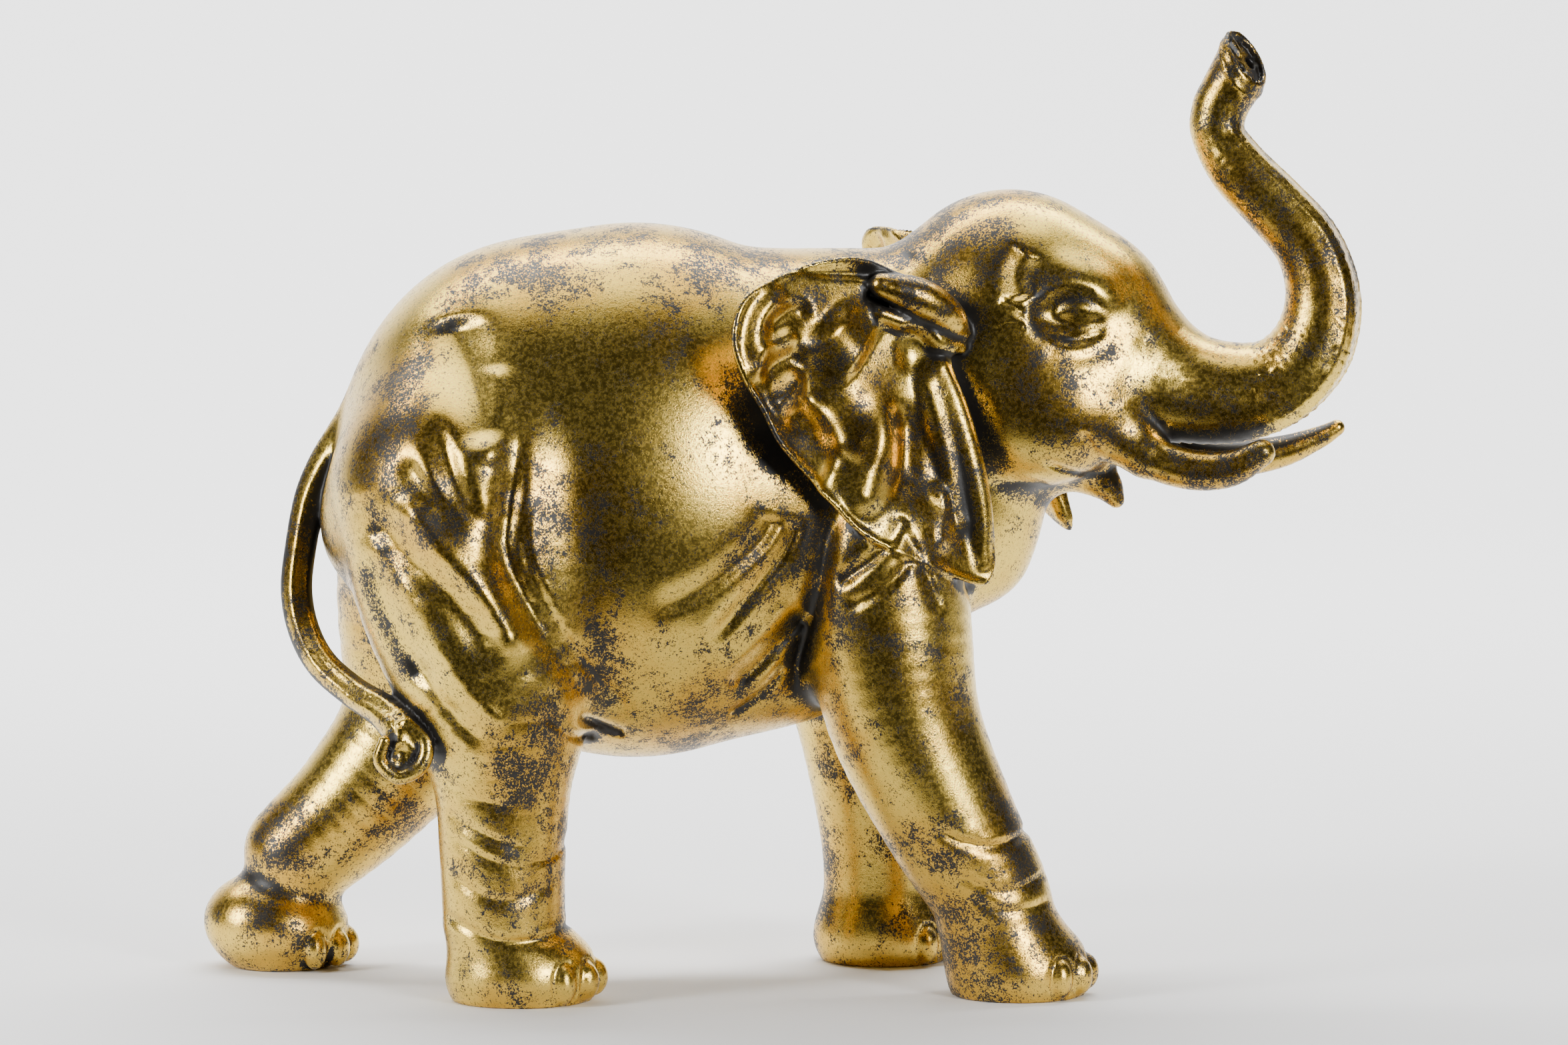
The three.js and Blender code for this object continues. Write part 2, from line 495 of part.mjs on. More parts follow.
// The skin of a sampled form: the coordinates of its vertices and the corners of its faces, in flat lists
function skinOf(form, low, high, step) {
  const { values, counts } = sampleForm(form, low, high, step);
  const [nx, ny, nz] = counts;
  const stride = [ny * nz, nz, 1];
  const offsets = cellCorners.map(({ x, y, z }) => x * stride[0] + y * stride[1] + z * stride[2]);
  const places = [];
  const faces = [];
  const known = new Map();
  const cutPoint = (node, from, to) => {
    const start = Math.min(from, to);
    const first = node + offsets[start];
    const last = node + offsets[Math.max(from, to)];
    const key = first * cellCorners.length + (from ^ to);
    let index = known.get(key);
    if (index === undefined) {
      index = places.length / 3;
      known.set(key, index);
      const share = values[first] / (values[first] - values[last]);
      const along = cellCorners[from ^ to];
      places.push(
        low[0] + (Math.floor(first / stride[0]) + along.x * share) * step,
        low[1] + ((Math.floor(first / stride[1]) % ny) + along.y * share) * step,
        low[2] + ((first % nz) + along.z * share) * step,
      );
    }
    return index;
  };
  for (let i = 0; i < nx - 1; i += 1) {
    for (let j = 0; j < ny - 1; j += 1) {
      for (let k = 0; k < nz - 1; k += 1) {
        const node = i * stride[0] + j * stride[1] + k;
        const inside = values[node] < 0;
        if (offsets.some((offset) => values[node + offset] < 0 !== inside)) {
          tetrahedra.forEach((corners, turn) => {
            const isInside = (corner) => values[node + offsets[corner]] < 0;
            const code = corners.reduce((sum, corner, n) => sum + (isInside(corner) ? 1 << n : 0), 0);
            const loop = patches[turn][code].map(([from, to]) => cutPoint(node, from, to));
            for (let n = 2; n < loop.length; n += 1) faces.push(loop[0], loop[n - 1], loop[n]);
          });
        }
      }
    }
  }
  return { places: Float64Array.from(places), faces: Int32Array.from(faces) };
}

// Hands out edges by their cost, the cheapest first. Edges of nearly the same cost share a shelf.
class EdgeShelves {
  constructor() {
    this.shelves = [];
    this.lowest = 0;
    this.count = 0;
  }

  push(cost, a, b, stamp) {
    const leastCost = 1e-9;
    const shelvesPerDoubling = 8;
    const place = Math.max(0, Math.floor(Math.log2(cost / leastCost) * shelvesPerDoubling));
    while (this.shelves.length <= place) this.shelves.push([]);
    this.shelves[place].push(a, b, stamp);
    this.lowest = Math.min(this.lowest, place);
    this.count += 1;
  }

  pop() {
    while (this.shelves[this.lowest].length === 0) this.lowest += 1;
    const shelf = this.shelves[this.lowest];
    this.count -= 1;
    const stamp = shelf.pop();
    const b = shelf.pop();
    return [shelf.pop(), b, stamp];
  }
}

// The squared distance to a set of planes is a symmetric matrix. These are its terms, row by row.
const PLANE_TERMS = [[0, 0], [0, 1], [0, 2], [0, 3], [1, 1], [1, 2], [1, 3], [2, 2], [2, 3], [3, 3]];
const LEAST_DETERMINANT = 1e-4;     // below this the planes around an edge are nearly one plane
const LEAST_TURN_COSINE = 0.35;     // how far a face may turn while an edge closes
const LEAST_BREADTH = 0.06;         // a face's breadth against its length
const NEVER_AGAIN = 2 ** 20;        // more changes than any corner goes through

// Thins a skin by closing up its edges one by one, the least visible first. An edge closes only where
// the skin stays closed and no face turns over or becomes a sliver.
class Thinning {
  constructor({ places, faces }) {
    const count = places.length / 3;
    this.places = places;
    this.faces = faces;
    this.planes = new Float64Array(PLANE_TERMS.length * count);
    this.around = Array.from({ length: count }, () => []);
    this.changes = new Uint32Array(count);
    this.marks = new Uint32Array(count);
    this.mark = 0;
    this.queue = new EdgeShelves();
    this.left = faces.length / 3;
    for (let face = 0; face < this.left; face += 1) this.addFace(face);
    for (let n = 0; n < faces.length; n += 1) {
      const next = n % 3 === 2 ? n - 2 : n + 1;
      if (faces[n] < faces[next]) this.offer(faces[n], faces[next]);
    }
  }

  addFace(face) {
    const corners = this.faces.subarray(3 * face, 3 * face + 3);
    const [a, b, c] = Array.from(corners, (corner) => this.placeOf(corner));
    const normal = b.clone().sub(a).cross(c.clone().sub(a));
    const doubleArea = normal.length();
    normal.divideScalar(doubleArea);
    const plane = [normal.x, normal.y, normal.z, -normal.dot(a)];
    for (const corner of corners) {
      this.around[corner].push(face);
      for (let n = 0; n < PLANE_TERMS.length; n += 1) {
        const [i, j] = PLANE_TERMS[n];
        this.planes[PLANE_TERMS.length * corner + n] += 0.5 * doubleArea * plane[i] * plane[j];
      }
    }
  }

  placeOf(corner) {
    return new THREE.Vector3().fromArray(this.places, 3 * corner);
  }

  // Where the edge's two ends would meet, and how far that strays from the planes around them
  closing(a, b) {
    const { places, planes } = this;
    const q = [];
    for (let n = 0; n < PLANE_TERMS.length; n += 1) {
      q.push(planes[PLANE_TERMS.length * a + n] + planes[PLANE_TERMS.length * b + n]);
    }
    let x = (places[3 * a] + places[3 * b]) / 2;
    let y = (places[3 * a + 1] + places[3 * b + 1]) / 2;
    let z = (places[3 * a + 2] + places[3 * b + 2]) / 2;
    const length = 2 * length3(places[3 * a] - x, places[3 * a + 1] - y, places[3 * a + 2] - z);
    const minorX = q[4] * q[7] - q[5] * q[5];
    const minorY = q[1] * q[7] - q[2] * q[5];
    const minorZ = q[1] * q[5] - q[2] * q[4];
    const determinant = q[0] * minorX - q[1] * minorY + q[2] * minorZ;
    if (Math.abs(determinant) > LEAST_DETERMINANT) {
      const bestX = (-q[3] * minorX + q[6] * minorY - q[8] * minorZ) / determinant;
      const crossTerm = q[0] * q[5] - q[1] * q[2];
      const bestY = (q[3] * minorY - q[6] * (q[0] * q[7] - q[2] * q[2]) + q[8] * crossTerm) / determinant;
      const bestZ = (-q[3] * minorZ + q[6] * crossTerm - q[8] * (q[0] * q[4] - q[1] * q[1])) / determinant;
      if (length3(bestX - x, bestY - y, bestZ - z) < length) {
        x = bestX;
        y = bestY;
        z = bestZ;
      }
    }
    const error = x * (q[0] * x + 2 * q[1] * y + 2 * q[2] * z + 2 * q[3])
      + y * (q[4] * y + 2 * q[5] * z + 2 * q[6]) + z * (q[7] * z + 2 * q[8]) + q[9];
    const regularity = 1.5e-3;
    return { x, y, z, cost: Math.max(error, 0) + regularity * length ** 3 };
  }

  offer(a, b) {
    const { cost } = this.closing(a, b);
    this.queue.push(cost, a, b, this.changes[a] + this.changes[b]);
  }

  // The vertices that share an edge with a corner, each once
  neighbours(corner) {
    this.mark += 1;
    this.marks[corner] = this.mark;
    const found = [];
    for (const face of this.around[corner]) {
      for (let n = 3 * face; n < 3 * face + 3; n += 1) {
        const other = this.faces[n];
        if (this.marks[other] !== this.mark) {
          this.marks[other] = this.mark;
          found.push(other);
        }
      }
    }
    return found;
  }

  // Whether the faces around a corner stay sound when it moves, apart from those it shares with another
  staysSound(corner, other, x, y, z) {
    const { places, faces } = this;
    for (const face of this.around[corner]) {
      const at = 3 * face;
      const turn = [0, 1, 2].find((n) => faces[at + n] === corner);
      const b = faces[at + ((turn + 1) % 3)];
      const c = faces[at + ((turn + 2) % 3)];
      if (b !== other && c !== other) {
        const ux = places[3 * c] - places[3 * b];
        const uy = places[3 * c + 1] - places[3 * b + 1];
        const uz = places[3 * c + 2] - places[3 * b + 2];
        const vx = places[3 * corner] - places[3 * b];
        const vy = places[3 * corner + 1] - places[3 * b + 1];
        const vz = places[3 * corner + 2] - places[3 * b + 2];
        const wx = x - places[3 * b];
        const wy = y - places[3 * b + 1];
        const wz = z - places[3 * b + 2];
        const [nx, ny, nz] = [uy * vz - uz * vy, uz * vx - ux * vz, ux * vy - uy * vx];
        const [mx, my, mz] = [uy * wz - uz * wy, uz * wx - ux * wz, ux * wy - uy * wx];
        const before = Math.sqrt(nx * nx + ny * ny + nz * nz);
        const after = Math.sqrt(mx * mx + my * my + mz * mz);
        const longest = Math.max(ux * ux + uy * uy + uz * uz, wx * wx + wy * wy + wz * wz,
          (x - places[3 * c]) ** 2 + (y - places[3 * c + 1]) ** 2 + (z - places[3 * c + 2]) ** 2);
        const turned = nx * mx + ny * my + nz * mz < LEAST_TURN_COSINE * before * after;
        if (turned || after < LEAST_BREADTH * longest) return false;
      }
    }
    return true;
  }

  close(a, b, x, y, z) {
    const { faces, around, planes } = this;
    const gone = new Set(around[a].filter((face) => around[b].includes(face)));
    for (const face of gone) {
      for (let n = 3 * face; n < 3 * face + 3; n += 1) {
        const corner = faces[n];
        if (corner !== a && corner !== b) around[corner] = around[corner].filter((other) => other !== face);
        faces[n] = -1;
      }
    }
    for (const face of around[b]) {
      if (!gone.has(face)) {
        const turn = [0, 1, 2].find((n) => faces[3 * face + n] === b);
        faces[3 * face + turn] = a;
        around[a].push(face);
      }
    }
    around[a] = around[a].filter((face) => !gone.has(face));
    around[b] = [];
    this.places.set([x, y, z], 3 * a);
    const terms = PLANE_TERMS.length;
    for (let n = 0; n < terms; n += 1) planes[terms * a + n] += planes[terms * b + n];
    this.changes[a] += 1;
    this.changes[b] += NEVER_AGAIN;
    this.left -= gone.size;
    for (const corner of this.neighbours(a)) this.offer(a, corner);
  }

  thinTo(faceCount) {
    while (this.left > faceCount && this.queue.count > 0) {
      const [a, b, stamp] = this.queue.pop();
      if (stamp === this.changes[a] + this.changes[b]) {
        const nearB = this.neighbours(b);
        const shared = this.neighbours(a).filter((corner) => nearB.includes(corner));
        const { x, y, z } = this.closing(a, b);
        if (shared.length === 2 && this.staysSound(a, b, x, y, z) && this.staysSound(b, a, x, y, z)) {
          this.close(a, b, x, y, z);
        }
      }
    }
    return { places: this.places, faces: this.faces.filter((corner) => corner >= 0) };
  }
}

// Cuts the soles flat on the ground.
const wasm = await Module();
wasm.setup();

function solidOf(vertProperties, triVerts) {
  return new wasm.Manifold(new wasm.Mesh({ numProp: 3, vertProperties, triVerts }));
}

function solidBox(width, depth, height, middleZ) {
  const box = new THREE.BoxGeometry(width, depth, height).translate(0, 0, middleZ);
  box.deleteAttribute('normal');
  box.deleteAttribute('uv');
  const merged = mergeVertices(box);
  return solidOf(new Float32Array(merged.attributes.position.array), new Uint32Array(merged.index.array));
}

const lowCorner = inShares([-136, -70, -9]);
const highCorner = inShares([134, 84, 222]);
const fullSkin = skinOf(figure, lowCorner, highCorner, LENGTH / SAMPLES);
const skin = new Thinning(fullSkin).thinTo(FACES);
const figureSolid = solidOf(new Float32Array(skin.places), new Uint32Array(skin.faces));
const groundDepth = 40 * SHARE;
const ground = solidBox(2 * LENGTH, LENGTH, groundDepth, -groundDepth / 2);
const cast = figureSolid.subtract(ground).getMesh();

const geometry = new THREE.BufferGeometry();
geometry.setAttribute('position', new THREE.BufferAttribute(new Float32Array(cast.vertProperties), 3));
geometry.setIndex(new THREE.BufferAttribute(new Uint32Array(cast.triVerts), 1));
geometry.computeBoundingBox();
const middle = geometry.boundingBox.getCenter(new THREE.Vector3());
geometry.translate(-middle.x, -middle.y, -geometry.boundingBox.min.z);
geometry.computeVertexNormals();

const leafedGold = new THREE.MeshStandardMaterial({ color: '#b8963f', roughness: 0.32, metalness: 1 });
const elephant = new THREE.Mesh(geometry, leafedGold);
elephant.name = 'elephant';

const figurine = new THREE.Group();
figurine.add(elephant);

export default figurine;
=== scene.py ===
"""The looks of a cast resin elephant figurine, finished in antique gold leaf over black.

The figure is one casting, so it is one sculpted skin. It is built as a field of distances: masses,
limbs, ears and tusks joined with soft seams, with every fold of skin carved in by a stroke. The
field is skinned, thinned to the mesh budget and drawn tight onto its own finest carving.
"""

import logging
import math
from dataclasses import dataclass, field
from enum import Enum
from typing import Iterable, Sequence

import bpy
import numpy as np
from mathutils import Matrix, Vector


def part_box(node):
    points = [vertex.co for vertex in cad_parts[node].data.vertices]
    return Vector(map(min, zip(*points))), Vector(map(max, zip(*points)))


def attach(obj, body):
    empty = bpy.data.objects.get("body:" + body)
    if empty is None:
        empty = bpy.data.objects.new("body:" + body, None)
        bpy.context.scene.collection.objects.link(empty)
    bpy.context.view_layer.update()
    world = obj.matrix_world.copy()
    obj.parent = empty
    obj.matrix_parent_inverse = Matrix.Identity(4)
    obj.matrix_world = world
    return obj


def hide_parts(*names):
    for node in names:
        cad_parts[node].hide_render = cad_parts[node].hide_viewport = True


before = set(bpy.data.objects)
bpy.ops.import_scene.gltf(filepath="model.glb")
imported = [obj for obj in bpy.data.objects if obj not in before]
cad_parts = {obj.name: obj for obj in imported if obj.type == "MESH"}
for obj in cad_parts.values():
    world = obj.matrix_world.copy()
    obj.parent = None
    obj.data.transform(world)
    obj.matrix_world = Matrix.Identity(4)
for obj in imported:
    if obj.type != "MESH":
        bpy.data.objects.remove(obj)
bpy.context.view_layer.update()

LOG = logging.getLogger("figurine")
NODE = "elephant"
BODY = "root"
MM = 0.001
FAR = 1e3  # millimetres, beyond every form
LINE_STEPS = 5  # straight parts between two stations of a smooth line
STROKE_ROOM = 2.6  # widths beyond which a stroke's depth can be left out
FLAT_SEAM = 1.4  # millimetres of soft edge along a limb's flat side
BLOCKS = 128  # the most blocks of points along one axis

Stations = Sequence[Sequence[float]]
Value = bpy.types.NodeSocket | float
Colour = bpy.types.NodeSocket | str


class Side(Enum):
    """Which side of the figure a form is on, as the sign of its Y."""

    RIGHT = -1
    LEFT = 1


def soft_join(a: np.ndarray, b: np.ndarray, seam: float) -> np.ndarray:
    """Joins two fields of distances with a soft seam.

    Args:
        a: Distances to the first form, negative inside it.
        b: Distances to the second form.
        seam: The width of the seam in millimetres.

    Returns:
        Distances to both forms as one.
    """
    overlap = np.maximum(seam - np.abs(a - b), 0) / seam
    return np.minimum(a, b) - overlap * overlap * (seam / 4)


def soft_cut(a: np.ndarray, tool: np.ndarray, seam: float) -> np.ndarray:
    """Cuts one form away from another with a soft edge.

    Args:
        a: Distances to the form that is cut.
        tool: Distances to the form that is taken away.
        seam: The width of the soft edge in millimetres.

    Returns:
        Distances to what is left.
    """
    return -soft_join(-a, tool, seam)


def smooth_step(value: np.ndarray) -> np.ndarray:
    """Rises smoothly from 0 to 1 while the value does."""
    t = np.clip(value, 0, 1)
    return t * t * (3 - 2 * t)


def bump(away: np.ndarray, width: np.ndarray | float) -> np.ndarray:
    """Gives 1 where a distance is 0, falling off smoothly over a width."""
    return np.exp(-((away / width) ** 2))


def smooth_line(stations: Stations, steps: int) -> np.ndarray:
    """Places points at even steps along a smooth line.

    Args:
        stations: The points that the line passes, with as many numbers each as wanted.
        steps: How many steps go between two stations.

    Returns:
        One row for each point of the line.
    """
    rows = np.array(stations, float)
    ends = np.vstack([2 * rows[0] - rows[1], rows, 2 * rows[-1] - rows[-2]])
    t = (np.arange(steps) / steps)[:, None]
    parts = []
    for p0, p1, p2, p3 in zip(ends, ends[1:], ends[2:], ends[3:]):
        bend = (2 * p0 - 5 * p1 + 4 * p2 - p3) * t * t + (3 * p1 - p0 - 3 * p2 + p3) * t**3
        parts.append(p1 + 0.5 * ((p2 - p0) * t + bend))
    return np.vstack([*parts, rows[-1:]]).astype(np.float32)


@dataclass
class Batch:
    """Points that lie close together, so that far forms can be skipped for all of them."""

    x: np.ndarray
    y: np.ndarray
    z: np.ndarray

    def __post_init__(self) -> None:
        """Works out the middle of the points and how far they reach from it."""
        spans = [(v.min(), v.max()) for v in (self.x, self.y, self.z)]
        self.middle = np.array([(low + high) / 2 for low, high in spans])
        self.reach = float(np.linalg.norm([(high - low) / 2 for low, high in spans]))

    def turned(self, degrees: float, about_x: float) -> "Batch":
        """Gives the same points in directions turned about an upright axis.

        Args:
            degrees: How far the new X direction swings towards -Y.
            about_x: Where the axis stands.

        Returns:
            The points in the turned directions.
        """
        c, s = math.cos(math.radians(degrees)), math.sin(math.radians(degrees))
        x = self.x - about_x
        return Batch(about_x + x * c - self.y * s, x * s + self.y * c, self.z)

    def mirrored(self) -> "Batch":
        """Gives the same points seen in a mirror across the figure's middle."""
        return Batch(self.x, -self.y, self.z)


class Mass:
    """A rounded mass with three half sizes, tipped about the Y axis."""

    def __init__(self, middle: Sequence[float], half: Sequence[float], pitch: float = 0) -> None:
        """Keeps the mass's place and size.

        Args:
            middle: Its middle in millimetres.
            half: Its half sizes along its own X, Y and Z.
            pitch: How far its front end is tipped down, in degrees.
        """
        self.middle = np.array(middle, float)
        self.half = half
        self.cos = math.cos(math.radians(pitch))
        self.sin = math.sin(math.radians(pitch))

    def room(self, batch: Batch) -> float:
        """Gives the least distance that any point of the batch can have."""
        return float(np.linalg.norm(batch.middle - self.middle)) - batch.reach - max(self.half)

    def distance(self, batch: Batch) -> np.ndarray:
        """Measures the batch's distances to the mass."""
        dx, dy, dz = (v - m for v, m in zip((batch.x, batch.y, batch.z), self.middle))
        rx, ry, rz = self.half
        along = (dx * self.cos - dz * self.sin) / rx
        across = dy / ry
        up = (dx * self.sin + dz * self.cos) / rz
        size = np.sqrt(along**2 + across**2 + up**2)
        slope = np.sqrt((along / rx) ** 2 + (across / ry) ** 2 + (up / rz) ** 2) + 1e-9
        return size * (size - 1) / slope


class Limb:
    """A round limb along a smooth line, with an optional flat side along its belly."""

    def __init__(self, stations: Stations, flat: float = 0, steps: int = LINE_STEPS) -> None:
        """Works out the limb's short straight parts.

        Args:
            stations: Rows of x, y, z and radius in millimetres.
            flat: The share of the radius at which the side below the line is cut flat, or 0.
            steps: How many straight parts go between two stations.
        """
        line = smooth_line(stations, steps)
        self.start, self.end = line[:-1], line[1:]
        self.run = self.end[:, :3] - self.start[:, :3]
        self.squared = np.maximum((self.run**2).sum(1), 1e-9)
        self.flat = flat
        self.widest = float(line[:, 3].max())

    def lengths(self, middle: np.ndarray) -> np.ndarray:
        """Measures how far one place lies from each straight part."""
        gap = middle - self.start[:, :3]
        t = np.clip((gap * self.run).sum(1) / self.squared, 0, 1)
        radius = self.start[:, 3] + (self.end[:, 3] - self.start[:, 3]) * t
        return np.linalg.norm(gap - self.run * t[:, None], axis=1) - radius

    def room(self, batch: Batch) -> float:
        """Gives the least distance that any point of the batch can have."""
        return float(self.lengths(batch.middle).min()) - batch.reach

    def nearest(self, batch: Batch) -> tuple[np.ndarray, np.ndarray, np.ndarray, np.ndarray]:
        """Finds where each point lies along the limb.

        Args:
            batch: The points.

        Returns:
            The distance, the place along the line from 0 to 1, the radius there, and how far
            each point lies below the line.
        """
        rough = self.lengths(batch.middle)
        count = len(rough)
        best = np.full(len(batch.x), FAR, np.float32)
        place, radius, below = np.zeros_like(best), np.ones_like(best), np.zeros_like(best)
        for i in np.flatnonzero(rough <= rough.min() + 2 * batch.reach + 1e-3):
            (ax, ay, az, ar), (bx, by, bz), er = self.start[i], self.run[i], self.end[i, 3]
            px, py, pz = batch.x - ax, batch.y - ay, batch.z - az
            t = np.clip((px * bx + py * by + pz * bz) / self.squared[i], 0, 1)
            dx, dy, dz = px - bx * t, py - by * t, pz - bz * t
            wide = ar + (er - ar) * t
            away = np.sqrt(dx * dx + dy * dy + dz * dz) - wide
            closer = away < best
            best = np.where(closer, away, best)
            place = np.where(closer, (i + t) / count, place)
            radius = np.where(closer, wide, radius)
            below = np.where(closer, (dx * bz - dz * bx) / math.hypot(bx, bz), below)
        return best, place, radius, below

    def distance(self, batch: Batch) -> np.ndarray:
        """Measures the batch's distances to the limb."""
        best, _, radius, below = self.nearest(batch)
        if not self.flat:
            return best
        return soft_cut(best, radius * self.flat - below, FLAT_SEAM)


@dataclass
class Stroke:
    """A carved line on a surface seen flat: a valley where its depth is positive, else a ridge."""

    depth: float
    line: Sequence[tuple[float, float]]
    left: float
    right: float = 0.0
    fade: float = 0.16

    def __post_init__(self) -> None:
        """Works out the line's short straight parts and the room that it takes."""
        self.right = self.right or self.left
        points = smooth_line(self.line, LINE_STEPS)
        self.start, self.run = points[:-1], np.diff(points, axis=0)
        self.squared = np.maximum((self.run**2).sum(1), 1e-9)
        room = STROKE_ROOM * max(self.left, self.right)
        self.low, self.high = points.min(0) - room, points.max(0) + room

    def strength(self, u: np.ndarray, v: np.ndarray) -> np.ndarray | float:
        """Measures how deep the stroke is at each point, or gives 0 where it is far."""
        if u.max() < self.low[0] or u.min() > self.high[0]:
            return 0.0
        if v.max() < self.low[1] or v.min() > self.high[1]:
            return 0.0
        best = np.full(u.shape, FAR, np.float32)
        share, on_left = np.zeros_like(best), np.zeros(u.shape, bool)
        count = len(self.start)
        for i, ((au, av), (bu, bv)) in enumerate(zip(self.start, self.run)):
            pu, pv = u - au, v - av
            t = np.clip((pu * bu + pv * bv) / self.squared[i], 0, 1)
            away = np.hypot(pu - bu * t, pv - bv * t)
            closer = away < best
            best = np.where(closer, away, best)
            share = np.where(closer, (i + t) / count, share)
            on_left = np.where(closer, bu * pv - bv * pu > 0, on_left)
        width = np.where(on_left, self.left, self.right)
        ends = smooth_step(share / self.fade) * smooth_step((1 - share) / self.fade)
        return self.depth * bump(best, width) * ends


def carve(strokes: Iterable[Stroke], u: np.ndarray, v: np.ndarray) -> np.ndarray | float:
    """Adds up how deep all strokes are at each point."""
    return sum(stroke.strength(u, v) for stroke in strokes)


@dataclass
class Step:
    """One step of a sculpt: a form, and the width of the seam that joins it to what is there."""

    form: Mass | Limb
    seam: float


def build_up(steps: Iterable[Step], batch: Batch, distance: np.ndarray | None = None) -> np.ndarray:
    """Works through the steps that come near a batch of points.

    Args:
        steps: The steps in order.
        batch: The points.
        distance: What is there already, or None.

    Returns:
        The distances after the last step.
    """
    if distance is None:
        distance = np.full(len(batch.x), FAR, np.float32)
    for step in steps:
        farthest = float(distance.max())
        if farthest > FAR / 2 or step.form.room(batch) < step.seam + max(farthest, 0.0):
            distance = soft_join(distance, step.form.distance(batch), step.seam)
    return distance


@dataclass
class Torso:
    """Barrel, rump, withers, chest, brisket and neck, with the folds of skin over them."""

    fold_depth: float = 3.0
    broad_fold: float = 0.45
    side_start: float = 6.0
    side_width: float = 14.0
    steps: list[Step] = field(default_factory=lambda: [
        Step(Mass((-32.4, 0, 110.6), (58.2, 46, 60)), 12),
        Step(Mass((-64.8, 0, 120.2), (33.8, 36.5, 44.2), 12), 12),
        Step(Mass((10, 0, 116), (34, 35, 46.2)), 12),
        Step(Mass((30, -2, 110), (28, 24, 30), -22), 10),
        Step(Mass((-2, 0, 76.4), (24, 24, 18.6)), 8),
        Step(Limb([(6, 0, 135, 27), (28, -2, 140, 25), (45, -3, 145, 21)]), 8),
        Step(Limb([(47, -3, 120, 14), (47.6, -3, 108, 11), (45, -3, 97, 10.5)]), 5),
        Step(Mass((-90, -7, 104), (12.5, 15, 15)), 6),
    ])

    def __post_init__(self) -> None:
        """Keeps the folds, so that they are worked out once."""
        self.all_folds = self.folds()

    def folds(self) -> list[Stroke]:
        """Lists the folds of skin seen from the side, with depths as shares of the deepest.

        Returns:
            The strokes from the hind quarters to the shoulder and down the legs.
        """
        flank = [
            (1.1, [(-60, 133), (-60.6, 122), (-62.2, 110), (-62.4, 100), (-57, 87.5), (-49.5, 75),
                   (-42, 61)], 2.6, 4.0, 0.4),
            (0.36, [(-57, 114), (-58.8, 103), (-54.6, 91), (-46.6, 77.5), (-32, 61)], 1.4, 1.8, 0.3),
            (0.7, [(-79, 132), (-76, 124), (-72.6, 114), (-63.5, 101)], 2.4, 3.6, 0.45),
            (-0.2, [(-83.4, 131), (-80.6, 123), (-77, 113), (-68.6, 102)], 3.6, 3.6, 0.5),
            (0.45, [(-85, 123), (-80, 114.5), (-71, 104)], 2.0, 3.4, 0.3),
            (-0.7, [(-86, 114), (-78, 103), (-67, 91), (-58, 76)], 4.2),
            (0.75, [(-91, 111), (-84, 100.5), (-74, 91), (-63.5, 77)], 4.0),
            (0.5, [(-92, 101), (-87, 86), (-78, 70)], 3.6),
            (0.7, [(-73, 152), (-70, 138), (-66.5, 123)], 5.5),
            (-0.3, [(-64.5, 142), (-64.8, 131), (-66.4, 119)], 3.0),
            (0.3, [(-55, 66), (-48, 60), (-41, 57)], 1.2),
            (0.35, [(-47, 64), (-41, 60.5), (-35, 58)], 1.0),
            (0.3, [(-84, 80), (-76, 68), (-67, 58)], 2.0),
            (-0.2, [(-79, 83), (-71, 71), (-62, 62)], 2.0),
        ]
        shoulder = [
            (0.85, [(13, 112), (8.4, 104), (6.6, 93), (5, 84), (2, 73), (2, 64)], 2.0, 3.4, 0.25),
            (0.36, [(-3.5, 109), (-6.5, 103), (-18, 93.5), (-32, 86)], 2.0, 3.6),
            (0.42, [(2, 108), (-1.5, 100), (-8, 92), (-18, 79)], 1.6, 3.2),
            (-0.12, [(-1.5, 108), (-4.6, 99), (-12, 90), (-24, 80)], 2.4),
            (0.5, [(4.5, 86), (-3, 78), (-13, 68)], 1.6, 3.0),
            (-0.15, [(0.5, 89), (-7, 80), (-17, 71)], 2.0),
            (0.3, [(0, 74), (-6, 67), (-13, 62)], 1.1),
            (0.5, [(25, 108), (20, 101), (9, 92)], 1.3, 2.2),
            (0.25, [(27, 100), (21, 93), (11, 87)], 1.2, 1.8),
            (0.35, [(32, 107), (35, 98), (42, 88)], 1.4, 2.2),
            (0.25, [(24, 106), (29, 96), (33, 86)], 1.2, 1.8),
            (0.2, [(46, 72), (48, 66), (49, 60)], 1.5),
        ]
        legs = [
            (0.26, [(31, 40), (37, 36.5), (44, 35), (51, 36.5), (56, 40)], 0.9, 1.6),
            (0.14, [(34, 30), (46, 25), (58, 28)], 0.9, 1.6),
            (0.12, [(38, 24), (47, 20.5), (59, 22)], 0.8, 1.2),
            (0.26, [(-77, 21), (-66, 15.5), (-55, 15), (-46, 18)], 1.0, 1.5),
            (0.15, [(-76, 30), (-64, 24), (-50, 28)], 0.9, 1.5),
            (0.17, [(-76, 44), (-68, 39), (-58, 35)], 0.8, 2.0),
            (0.13, [(-77, 51), (-70, 47), (-60, 44)], 0.8, 2.0),
            (0.12, [(-75, 38), (-66, 33), (-58, 31)], 0.7, 1.6),
            (0.16, [(-47, 37), (-52, 33), (-58, 32)], 0.9, 1.6),
        ]
        return [Stroke(*row) for row in flank + shoulder + legs]

